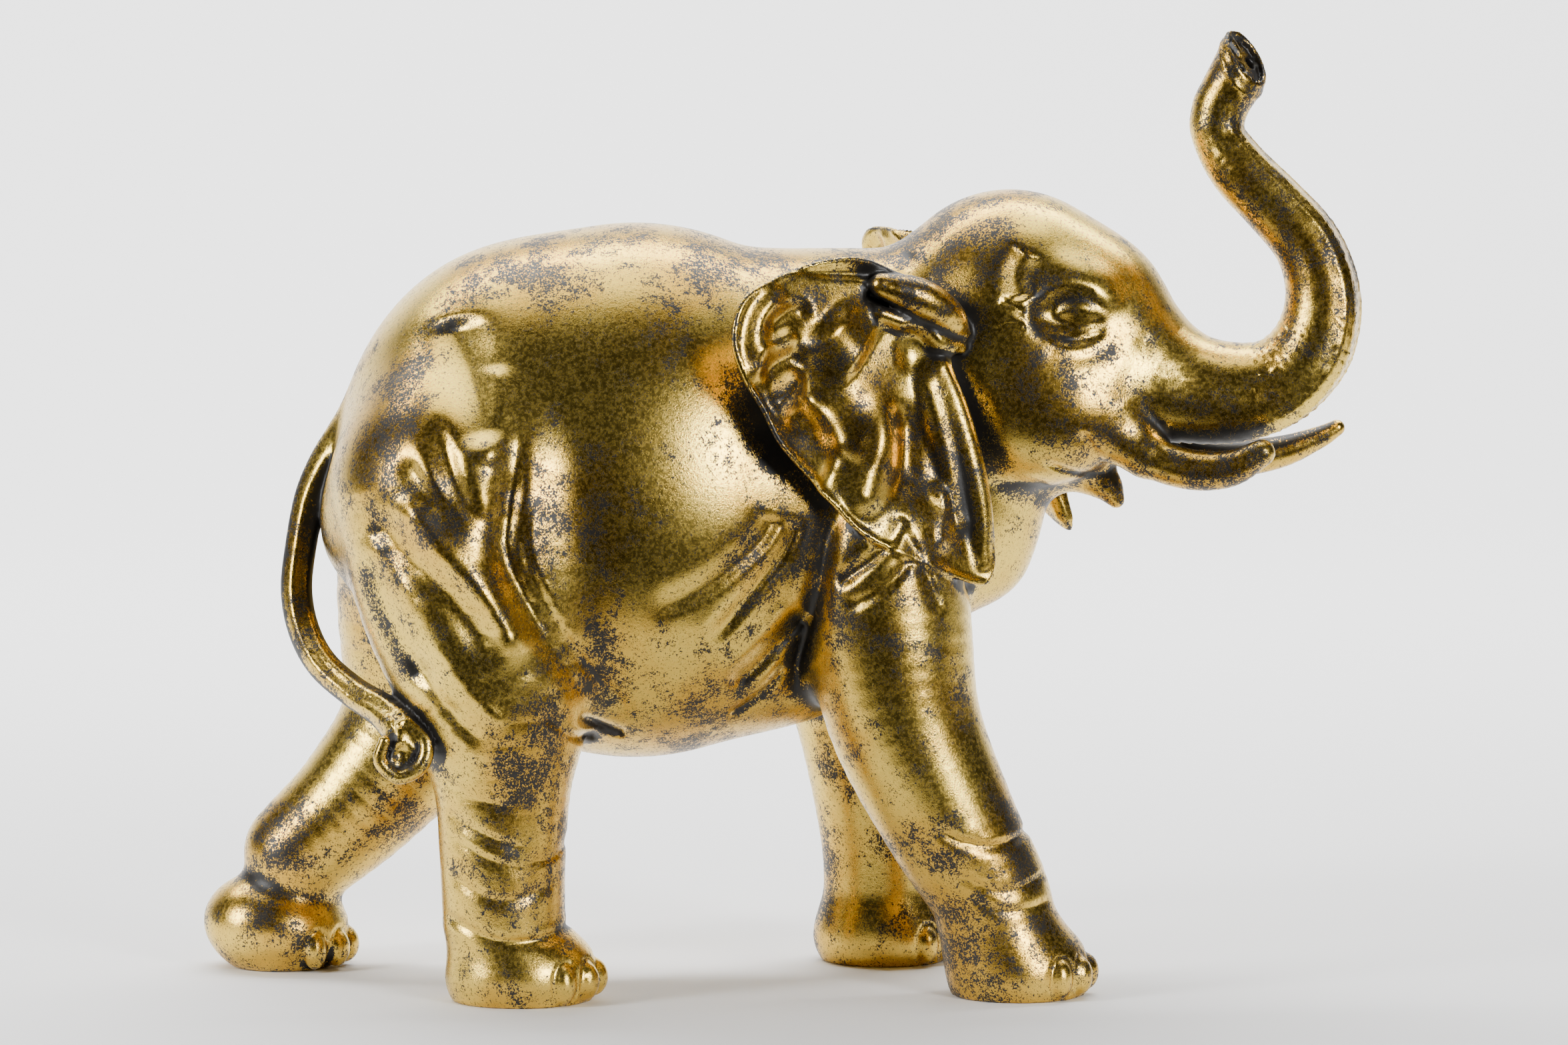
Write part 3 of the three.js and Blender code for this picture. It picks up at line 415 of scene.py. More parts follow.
    def carved(self, distance: np.ndarray, batch: Batch) -> np.ndarray:
        """Carves the folds into both sides of the body and legs.

        Args:
            distance: The body and legs without their folds.
            batch: The points.

        Returns:
            The distances with the folds. The left side keeps the broad ones.
        """
        at_side = smooth_step((np.abs(batch.y) - self.side_start) / self.side_width)
        if not at_side.any():
            return distance
        on_right = np.where(batch.y < 0, 1.0, 0.0)
        depth = 0.0
        for stroke in self.all_folds:
            strength = stroke.strength(batch.x, batch.z)
            depth = depth + (strength if abs(stroke.depth) > self.broad_fold else strength * on_right)
        return distance + self.fold_depth * depth * at_side


@dataclass
class Leg:
    """One leg from hip to ankle, with its round foot and five toenails."""

    stations: Stations
    foot_middle: tuple[float, float, float]
    foot_half: tuple[float, float, float]
    seam: float
    foot_pitch: float = 0.0
    nail_width: float = 7.0
    nail_inset: float = 1.5
    nail_turns: tuple[float, ...] = (-56, -28, 0, 28, 56)
    nail_middle: float = 5.0
    nail_half_height: float = 4.3
    nail_seam: float = 0.35
    side_nail_share: float = 0.2
    groove_beyond: float = 0.5
    groove_half_height: float = 4.9
    groove_depth: float = 0.32
    groove_width: float = 0.6
    foot_top: float = 12.0

    def __post_init__(self) -> None:
        """Sets the leg, the foot and the nails in place."""
        x, y, _ = self.foot_middle
        along, across = (half - self.nail_inset for half in self.foot_half[:2])
        self.steps = [
            Step(Limb(self.stations), 1),
            Step(Mass(self.foot_middle, self.foot_half, self.foot_pitch), 4),
        ]
        self.outlines = []
        for turn in self.nail_turns:
            angle = math.radians(turn)
            half = self.nail_width / 2 * (1 - self.side_nail_share * abs(turn) / max(self.nail_turns))
            place = (x + along * math.cos(angle), y + across * math.sin(angle), self.nail_middle)
            self.steps.append(Step(Mass(place, (half, half, self.nail_half_height)), self.nail_seam))
            half += self.groove_beyond
            self.outlines.append(Mass(place, (half, half, self.groove_half_height)))

    def join_to(self, distance: np.ndarray, batch: Batch) -> np.ndarray:
        """Joins the leg to the body.

        Args:
            distance: The body so far.
            batch: The points.

        Returns:
            The distances with this leg.
        """
        if self.steps[0].form.room(batch) > self.seam + self.foot_top:
            return distance
        leg = build_up(self.steps[:2], batch)
        if batch.z.min() < self.foot_top:
            groove = np.minimum.reduce([outline.distance(batch) for outline in self.outlines])
            leg = leg + self.groove_depth * bump(groove, self.groove_width)
            leg = build_up(self.steps[2:], batch, leg)
        return soft_join(distance, leg, self.seam)


@dataclass
class Ear:
    """A curved sheet of ear with a rolled front edge, ribs, valleys and a lens-shaped lobe.

    Lift, swing, back, lean and skew set it on the head, the angles in degrees.
    """

    thickness: float = 3.0
    size: float = 1.0
    lift: float = 0.0
    swing: float = 0.0
    back: float = 40.0
    lean: float = 0.15
    skew: float = 0.0
    reach: float = 52.0
    bowl: float = 5.0
    bowl_bottom: float = 0.35
    fan_folds: float = 8.5
    fan_height: float = 0.8
    rim_width: float = 1.7
    edge_seam: float = 1.4
    roll_seam: float = 3.0
    lobe_seam: float = 2.0
    sheet_seam: float = 2.6
    hollow_seam: float = 1.6
    head_seam: float = 1.5
    fan_root: tuple[float, float] = (6, 2)
    middle: tuple[float, float] = (24, -16)
    outline: Sequence[tuple[float, float]] = (
        (2.5, 1), (9.6, 9), (20.8, 14.6), (31, 14.4), (45, 9.6), (54.4, 4), (57.6, -4), (56, -12),
        (51.6, -19.5), (47.4, -28), (37.5, -37), (28.2, -45.8), (17, -50.6), (0.6, -55.3), (-3.8, -53),
        (-4.4, -46), (-2.5, -37.2), (0.6, -26.5), (3.2, -16), (3.6, -7),
    )

    def __post_init__(self) -> None:
        """Works out the rim, the rolls and the lines of the ear."""
        closed = [*self.outline, *self.outline[:3]]
        rim = smooth_line(closed, 14)[14:-14]
        du, dv = rim[:, 0] - self.middle[0], rim[:, 1] - self.middle[1]
        order = np.argsort(np.arctan2(dv, du))
        self.rim_turns, self.rim_radii = np.arctan2(dv, du)[order], np.hypot(du, dv)[order]
        self.roll = Limb([(6, -8, 1, 2.4), (3.5, -17, 2.2, 3.1), (0.5, -29, 2.6, 3.1),
                          (-1.6, -40, 2.2, 2.7), (-2, -50, 1.3, 1.8)])
        self.fold = Limb([(10, -9, 0.6, 1.8), (8, -18, 1.2, 2.3), (5.4, -30, 1.3, 2.3),
                          (3.4, -41, 0.8, 1.8)])
        self.lobe = Limb([(0.5, 0.4, 2, 1.9), (5, 3.8, 3.4, 3.9), (12, 7, 3.6, 4.4), (20, 9, 2.2, 2.8)])
        self.lip = Limb([(1, -3, 1.4, 1.4), (6, -2.2, 2.2, 2.1), (13, 0.6, 2.2, 2.0), (20, 3, 1.4, 1.4)])
        self.hollow = Mass((13, -5.5, 7), (5.5, 7, 7.5))
        rows = [
            (-3.2, [(18, -12), (23, -26), (27, -36), (30, -43)], 4.2, 5.4, 0.3),
            (-3.0, [(35, 2), (29, -4), (24, -8)], 6.5, 6.5, 0.3),
            (3.2, [(40, -5), (36, -15), (31, -24), (27, -32)], 4.6, 5.2, 0.3),
            (2.6, [(14, -14), (15, -28), (17, -44)], 3.4, 3.4, 0.3),
            (-1.8, [(10, -32), (7.5, -38), (9.5, -44), (9, -50)], 2.6, 2.6, 0.25),
            (-1.9, [(44, 8), (50, 0), (52.5, -8), (51, -15)], 3.0, 3.4, 0.2),
            (2.0, [(36, 3), (43, 1.5), (51, -4)], 2.0, 3.4, 0.3),
            (1.9, [(38, -6), (45, -9.5), (52, -14)], 2.2, 3.2, 0.3),
            (1.8, [(34, -14), (40, -19), (47, -24)], 2.2, 3.2, 0.3),
            (1.2, [(31, -28), (35, -34), (39, -40)], 2.2, 2.8, 0.3),
            (1.2, [(6, -33), (4.6, -38), (4.5, -44)], 1.9, 2.3, 0.35),
            (2.2, [(24, 7.5), (16, 5), (11, 0)], 1.6, 2.6),
            (1.0, [(46, 12), (34, 11), (22, 11), (12, 7)], 1.1, 1.6, 0.2),
            (-1.3, [(40, -2), (47, -5.5), (54, -9)], 1.8, 2.4, 0.3),
            (-1.4, [(37, -10), (45, -16), (50, -20)], 1.9, 2.4, 0.3),
        ]
        self.lines = [Stroke(*row) for row in rows]

    def height(self, u: np.ndarray, v: np.ndarray, edge: np.ndarray) -> np.ndarray:
        """Measures how far the sheet's middle stands out from a flat ear.

        Args:
            u: Places back from the root.
            v: Places up from the root.
            edge: Distances to the rim, negative inside it.

        Returns:
            The heights in millimetres.
        """
        root_u, root_v = self.fan_root
        from_root = np.hypot(u - root_u, v - root_v) / self.reach
        turn = np.arctan2(v - root_v, u - root_u)
        fan = np.sin(turn * self.fan_folds + 0.8)
        fan = self.fan_height * from_root**1.4 * fan * smooth_step(0.8 - turn / math.radians(30))
        bowl = self.bowl * (from_root - self.bowl_bottom) ** 2 - 1
        return bowl + fan + bump(edge, self.rim_width) - carve(self.lines, u, v)

    def join_to(self, distance: np.ndarray, batch: Batch) -> np.ndarray:
        """Joins the ear to the head.

        Args:
            distance: The figure so far.
            batch: The points in the head's directions, mirrored for the left ear.

        Returns:
            The distances with this ear.
        """
        root = np.array([45.3, -25.1, 147 + self.lift])
        middle = root + np.array([-16, -14, -16]) * self.size
        if np.linalg.norm(batch.middle - middle) - batch.reach > self.reach * self.size + 4:
            return distance
        px, py, pz = ((v - r) / self.size for v, r in zip((batch.x, batch.y, batch.z), root))
        c, s = math.cos(math.radians(self.back)), math.sin(math.radians(self.back))
        backwards = -px * c - py * s
        upwards = (py * self.lean + pz) / math.hypot(self.lean, 1)
        out = (px * s - py * c + pz * c * self.lean) / math.hypot(1, c * self.lean)
        tip_c, tip_s = math.cos(math.radians(self.swing)), math.sin(math.radians(self.swing))
        v = upwards * tip_c - backwards * tip_s
        u = backwards * tip_c + upwards * tip_s + self.skew * np.maximum(-v, 0)
        du, dv = u - self.middle[0], v - self.middle[1]
        radii = np.interp(np.arctan2(dv, du), self.rim_turns, self.rim_radii, period=2 * math.pi)
        edge = np.hypot(du, dv) - radii
        out = out.astype(np.float32)
        sheet = self.thickness / 2 * (1 - 0.3 * smooth_step(edge / 8 + 1))
        skin = soft_cut(edge, sheet - np.abs(out - self.height(u, v, edge)), self.edge_seam)
        flat = Batch(u, v, out)
        front = soft_join(self.roll.distance(flat), self.fold.distance(flat), self.roll_seam)
        skin = soft_join(skin, front, self.sheet_seam)
        lens = soft_join(self.lobe.distance(flat), self.lip.distance(flat), self.lobe_seam)
        skin = soft_join(skin, lens, self.sheet_seam)
        skin = soft_cut(skin, self.hollow.distance(flat), self.hollow_seam) * self.size
        return soft_join(distance, skin, self.head_seam)


@dataclass
class TrunkEnd:
    """The end of the trunk: cut off obliquely, dished inside its lip, with two nostrils."""

    middle: tuple[float, float, float] = (105.3, -1, 207.8)
    normal: tuple[float, float, float] = (0.775, -0.329, 0.543)
    lip: float = 1.2
    dish: float = 1.5
    nostril_width: float = 2.8
    nostril_depth: float = 4.5
    ring_height: float = 0.35
    ring_below: float = 2.6
    ring_width: float = 0.7
    cut_seam: float = 0.8
    lip_seam: float = 0.5
    trunk_seam: float = 2.0

    def __post_init__(self) -> None:
        """Works out the tube and the nostrils."""
        self.tube = Limb([(98.6, -0.2, 193.5, 5.7), (100.2, -0.4, 198.5, 6.1), (103, -0.7, 203.5, 6.4),
                          (105.2, -1, 208.8, 6.0), (107, -1.4, 214.2, 5.2)])
        self.axis = np.array(self.normal) / np.linalg.norm(self.normal)
        side = np.array([0, 1, 0]) - self.axis * self.axis[1]
        side /= np.linalg.norm(side)
        down = np.cross(side, self.axis)
        self.nostrils = []
        for sign in (-1, 1):
            mouth = np.array(self.middle) + side * sign * 0.9 * self.nostril_width + down * 1.4
            deep = mouth - self.axis * self.nostril_depth
            radius = self.nostril_width / 2
            self.nostrils.append(Limb([(*deep, radius * 0.8), (*mouth, radius)], steps=2))
        self.finger = Limb([(*(np.array(self.middle) - down * 4.6 - self.axis * 1.8), 1.6),
                            (*(np.array(self.middle) - down * 1.6 - self.axis * 1.4), 0.9)], steps=2)

    def join_to(self, distance: np.ndarray, batch: Batch) -> np.ndarray:
        """Joins the end to the trunk.

        Args:
            distance: The head and trunk so far.
            batch: The points in the head's directions.

        Returns:
            The distances with the end, its dish and its nostrils.
        """
        if self.tube.room(batch) > 6:
            return distance
        tube = self.tube.distance(batch)
        above = sum((v - m) * n for v, m, n in zip((batch.x, batch.y, batch.z), self.middle, self.axis))
        closed = soft_cut(tube, -above, self.cut_seam)
        closed = closed - self.ring_height * bump(above + self.ring_below, self.ring_width) * (tube > -2)
        closed = soft_cut(closed, np.maximum(tube + self.lip, -above - self.dish), self.lip_seam)
        closed = soft_join(closed, self.finger.distance(batch), self.cut_seam)
        distance = soft_join(distance, closed, self.trunk_seam)
        for nostril in self.nostrils:
            distance = soft_cut(distance, nostril.distance(batch), self.lip_seam)
        return distance


@dataclass
class Eye:
    """One eye: a ball between two lids, in a soft socket, in the head's own directions."""

    side: Side
    socket_seam: float = 4.0
    ball_seam: float = 1.2
    lid_seam: float = 1.3
    room: float = 8.0

    def __post_init__(self) -> None:
        """Sets the socket, the ball and the lids in place."""
        s = self.side.value
        self.socket = Mass((70.5, 24.0 * s, 150.8), (8.6, 4.8, 4.6), 8)
        self.ball = Mass((70.3, 16.2 * s, 150.4), (4.4, 4.2, 3.2))
        self.upper = Limb([(64.4, 17.2 * s, 148.8, 0.6), (67.6, 19.2 * s, 152, 1.5),
                           (72.4, 18.8 * s, 152.4, 1.6), (77, 15.8 * s, 149.6, 0.6)])
        self.lower = Limb([(64.4, 17.2 * s, 148.6, 0.5), (68.4, 18.6 * s, 147.8, 0.8),
                           (72.4, 18.2 * s, 147.6, 0.8), (77, 15.8 * s, 149.4, 0.5)])

    def join_to(self, distance: np.ndarray, batch: Batch) -> np.ndarray:
        """Sets the eye into the face.

        Args:
            distance: The skull so far.
            batch: The points in the head's directions.

        Returns:
            The distances with this eye.
        """
        if self.socket.room(batch) >= self.room:
            return distance
        distance = soft_cut(distance, self.socket.distance(batch), self.socket_seam)
        distance = soft_join(distance, self.ball.distance(batch), self.ball_seam)
        lids = np.minimum(self.upper.distance(batch), self.lower.distance(batch))
        return soft_join(distance, lids, self.lid_seam)


@dataclass
class Head:
    """Skull, face, eyes, raised trunk, tusks and mouth, in the head's own directions."""

    turn: float = 16.0
    neck_x: float = 35.0
    tusk: float = 9.2
    trunk_flat: float = 0.74
    trunk_seam: float = 6.0
    neck_seam: float = 6.0
    fold_depth: float = 1.0
    side_start: float = 3.0
    side_width: float = 8.0
    bead_height: float = 0.35
    bead_rows: tuple[tuple[float, float, float], ...] = ((1.0, 0.93, 0.5), (0.8, 0.72, 0.45))
    ridge_height: float = 0.25
    wrinkle_depth: float = 0.18
    wrinkles: float = 260.0

    def __post_init__(self) -> None:
        """Sets the forms of the head in place."""
        sides = [side.value for side in Side]
        self.skull = [
            Step(Mass((52, 0, 148), (29, 26, 30)), 8),
            Step(Mass((69.4, 0, 148.6), (18.6, 18.5, 19.5), 28), 7),
            *[Step(Mass((60, 13 * s, 131), (22, 13, 17.5)), 7) for s in sides],
            *[Step(Mass((69, 14.5 * s, 157.5), (9.5, 6, 5), 20), 4) for s in sides],
            Step(Mass((56, 0, 123.5), (23, 17, 11.5)), 7),
            Step(Limb([(60, 0, 119, 9), (67.5, 0, 116.5, 6.2), (73.5, 0, 112.5, 3.8),
                       (76.2, 0, 108.8, 1.9)]), 3),
        ]
        self.trunk = Limb([
            (79, 0, 138, 16.5), (91, 0, 133, 13.9), (102.6, 0, 131.8, 12.6), (112.4, 0, 134.4, 11.3),
            (119.4, 0, 140.8, 10.5), (122.7, 0, 149, 9.7), (122.7, 0, 158, 8.9), (119, 0, 167.4, 8.2),
            (111.5, 0, 175.8, 7.8), (104.1, 0, 183.2, 7.4), (99.2, 0, 190.5, 6.3), (98.8, -0.2, 196, 5.6),
        ], self.trunk_flat)
        self.end = TrunkEnd()
        self.eyes = [Eye(side) for side in Side]
        r = self.tusk / 2
        self.tusks = [
            Step(Limb([(72, 11 * s, 133, 8), (78, 12.5 * s, 125.5, 6.3), (85, 13.5 * s, 120, 5.2)]), 4)
            for s in sides
        ] + [
            Step(Limb([(76, -12.5, 125.5, r), (85, -13.6, 120, r), (95, -14.5, 117, 0.98 * r),
                       (104, -15, 117.4, 0.88 * r), (111, -15, 121, 0.64 * r)]), 1.2),
            Step(Limb([(76, 12.5, 125.5, r), (86, 13.6, 119.4, r), (98, 14.5, 117.3, 0.94 * r),
                       (110, 15.5, 118.7, 0.8 * r), (119, 16.5, 122, 0.56 * r),
                       (123.4, 17, 124.4, 0.4 * r)]), 1.2),
        ]
        self.lines = self.face_lines()

    def face_lines(self) -> list[Stroke]:
        """Lists the lines of the face seen from the side, with depths in millimetres.

        Returns:
            The strokes around the eye, the mouth, the temple and the neck.
        """
        rows = [
            (0.4, [(64, 153.5), (67, 156), (71, 156.8), (75, 155.2)], 1.1, 1.4),
            (0.45, [(65, 147), (69, 145.6), (73, 146), (77, 148)], 0.8, 1.2),
            (0.3, [(63.5, 144), (69, 141.8), (75, 142.8), (79, 146)], 1.4, 1.8),
            (0.5, [(60, 151), (57, 153.5), (54, 154.5)], 0.8),
            (0.5, [(60, 148.5), (56.5, 149), (53, 148)], 0.8),
            (-0.25, [(65, 150), (69, 153.4), (74, 152.6), (77.5, 150)], 0.8),
            (-0.2, [(66, 147), (70, 146.4), (75, 148)], 0.6),
            (1.4, [(60, 166), (57.5, 160), (59, 154)], 3.0),
            (0.8, [(72, 126), (75, 120), (76.5, 115)], 0.9, 1.6),
            (0.9, [(78, 118), (74, 115), (69, 116), (63, 119)], 0.7, 1.2),
            (0.5, [(48, 112), (56, 113.6), (64, 113)], 1.2),
            (0.7, [(84, 147), (86.5, 141), (87, 134)], 1.1, 1.8),
            (0.4, [(89, 144), (91, 138), (91, 131)], 0.9, 1.4),
            (0.35, [(93, 142.6), (95, 137), (95, 131)], 0.8, 1.3),
            (0.3, [(97, 142), (99, 137), (99, 131)], 0.8, 1.2),
            (-0.5, [(80, 133), (84, 127), (89, 123)], 2.0),
            (0.8, [(33, 165), (31, 158), (31, 150)], 1.4, 2.2),
            (0.5, [(37, 160), (41, 152), (45, 146)], 0.8, 1.2),
        ]
        return [Stroke(*row) for row in rows]

    def trunk_distance(self, batch: Batch) -> np.ndarray:
        """Measures the trunk, with beads along its flat side's edges and wrinkles across its back.

        Args:
            batch: The points in the head's directions.

        Returns:
            The distances to the trunk.
        """
        best, place, radius, below = self.trunk.nearest(batch)
        distance = soft_cut(best, radius * self.trunk_flat - below, FLAT_SEAM)
        corner = radius * math.sqrt(1 - self.trunk_flat**2)
        across = np.abs(batch.y)
        flat_side = smooth_step((below / radius - 0.35) / 0.3)
        start = smooth_step((place - 0.16) / 0.1)
        beads = sum(height * bump(across - out * corner, width) for height, out, width in self.bead_rows)
        distance = distance - self.bead_height * beads * flat_side * start
        ridge = bump(below / radius - 0.56, 0.09) * start
        distance = distance - self.ridge_height * ridge * (across > corner)
        wrinkle = np.sin(place * self.wrinkles) ** 8 * smooth_step((0.62 - place) / 0.2) * start
        back = smooth_step(0.3 - below / radius)
        return distance + self.wrinkle_depth * wrinkle * back

    def join_to(self, distance: np.ndarray, batch: Batch) -> np.ndarray:
        """Joins the head to the neck.

        Args:
            distance: The body so far.
            batch: The points in the head's directions.

        Returns:
            The distances with the whole head, apart from its ears.
        """
        if np.linalg.norm(batch.middle - (82, 0, 158)) - batch.reach > 82:
            return distance
        head = build_up(self.skull, batch)
        at_side = smooth_step((np.abs(batch.y) - self.side_start) / self.side_width)
        head = head + self.fold_depth * carve(self.lines, batch.x, batch.z) * at_side
        for eye in self.eyes:
            head = eye.join_to(head, batch)
        if self.trunk.room(batch) < 10:
            head = soft_join(head, self.trunk_distance(batch), self.trunk_seam)
        head = self.end.join_to(head, batch)
        head = build_up(self.tusks, batch, head)
        return soft_join(distance, head, self.neck_seam)


@dataclass
class Tail:
    """The tail, hanging clear of the rump, with a groove along it and a curled tuft."""

    thickness: float = 7.2
    line_depth: float = 0.22
    line_turns: float = 6.5
    rump_seam: float = 1.5
    tuft_seam: float = 0.9
    heart_seam: float = 0.8

    def __post_init__(self) -> None:
        """Sets the tail and the two turns of its tuft in place."""
        r = self.thickness / 2
        self.limb = Limb([
            (-90, 0, 131, 1.7 * r), (-96, 0, 123.3, 1.45 * r), (-101.2, 0, 116.5, 1.2 * r),
            (-104.8, -0.5, 109, 1.05 * r), (-107, -2, 98.5, r), (-108, -5, 89, r),
            (-106.4, -9, 80.5, r), (-102.4, -15, 73.5, r),
            (-95.5, -22, 68, r), (-89, -30, 64.5, 1.1 * r), (-84.6, -36.5, 60, 1.3 * r),
            (-86.5, -38, 55, 1.15 * r),
        ])
        self.tuft = Limb([(-84, -39, 63, 1.6), (-80, -40.5, 59, 1.7), (-81, -41.5, 54, 1.7),
                          (-86, -42, 51.5, 1.6), (-90, -42, 55, 1.5), (-89, -42.5, 59.5, 1.3)])
        self.heart = Mass((-85.4, -43.4, 56.6), (2.2, 2.6, 2.8))

    def join_to(self, distance: np.ndarray, batch: Batch) -> np.ndarray:
        """Joins the tail to the rump and the near thigh.

        Args:
            distance: The figure so far.
            batch: The points.

        Returns:
            The distances with the tail.
        """
        if self.limb.room(batch) > 6:
            return distance
        best, place, radius, below = self.limb.nearest(batch)
        lines = self.line_depth * np.cos(self.line_turns * below / radius + 1.2)
        distance = soft_join(distance, best + lines * smooth_step(place * 6), self.rump_seam)
        distance = soft_join(distance, self.tuft.distance(batch), self.tuft_seam)
        return soft_cut(distance, self.heart.distance(batch), self.heart_seam)


@dataclass
class Sculpt:
    """The whole figure as one field of distances, in millimetres."""

    near_y: float = -28.0
    far_y: float = 25.0
    ground_seam: float = 0.5

    def __post_init__(self) -> None:
        """Builds the parts of the figure."""
        near, far = self.near_y, self.far_y
        self.torso = Torso()
        self.legs = [
            Leg([(-70, -20, 112, 30), (-68, -24, 92, 27), (-64, -27, 70, 21.5), (-63, near, 50, 15.5),
                 (-63, near, 32, 13.9), (-62.8, near, 18, 13.5)], (-58.8, near, 5.5), (17, 15.3, 13), 7),
            Leg([(-70, 20, 110, 28), (-74, 24, 85, 25), (-79.6, far, 58, 18.4), (-93, far, 39.4, 15),
                 (-107.4, far, 26, 13)], (-113, far, 9.3), (16.7, 15, 12.4), 8, 10),
            Leg([(20, -24, 100, 20), (22.5, -26, 80, 18.5), (26.4, -27, 60, 16.7), (36.4, near, 38, 14.7),
                 (44, near, 24.4, 13.4), (46.8, near, 15, 13.2)], (51.2, near, 5.2), (16, 15, 13.4), 6),
            Leg([(16, 24, 100, 20), (18.6, far, 75, 18), (22.8, far, 50, 15.6), (24.8, far, 28, 13.4),
                 (25.3, far, 14, 13.2)], (26.1, far, 6), (16.5, 15, 12.4), 8),
        ]
        self.head = Head()
        self.right_ear = Ear()
        self.left_ear = Ear(size=0.82, lift=-1, swing=9, lean=0.38, skew=0.27)
        self.tail = Tail()

    def distance(self, batch: Batch) -> np.ndarray:
        """Measures a batch's distances to the figure.

        Args:
            batch: The points, in millimetres, on the sculpt's own axes.

        Returns:
            The distances, negative inside.
        """
        distance = build_up(self.torso.steps, batch)
        for leg in self.legs:
            distance = leg.join_to(distance, batch)
        distance = self.torso.carved(distance, batch)
        turned = batch.turned(self.head.turn, self.head.neck_x)
        distance = self.head.join_to(distance, turned)
        distance = self.right_ear.join_to(distance, turned)
        distance = self.left_ear.join_to(distance, turned.mirrored())
        distance = self.tail.join_to(distance, batch)
        return soft_cut(distance, batch.z, self.ground_seam)

    def sample(self, points: np.ndarray, block: float = 9.0) -> np.ndarray:
        """Measures many points, block by block.

        Args:
            points: Rows of x, y and z in millimetres.
            block: The size of a block in millimetres.

        Returns:
            The distance of each point.
        """
        points = points.astype(np.float32)
        cells = np.floor(points / block).astype(np.int64) + BLOCKS // 2
        keys = (cells[:, 0] * BLOCKS + cells[:, 1]) * BLOCKS + cells[:, 2]
        order = np.argsort(keys, kind="stable")
        breaks = np.flatnonzero(np.diff(keys[order])) + 1
        distances = np.empty(len(points), np.float32)
        for members in np.split(order, breaks):
            distances[members] = self.distance(Batch(*points[members].T))
        return distances


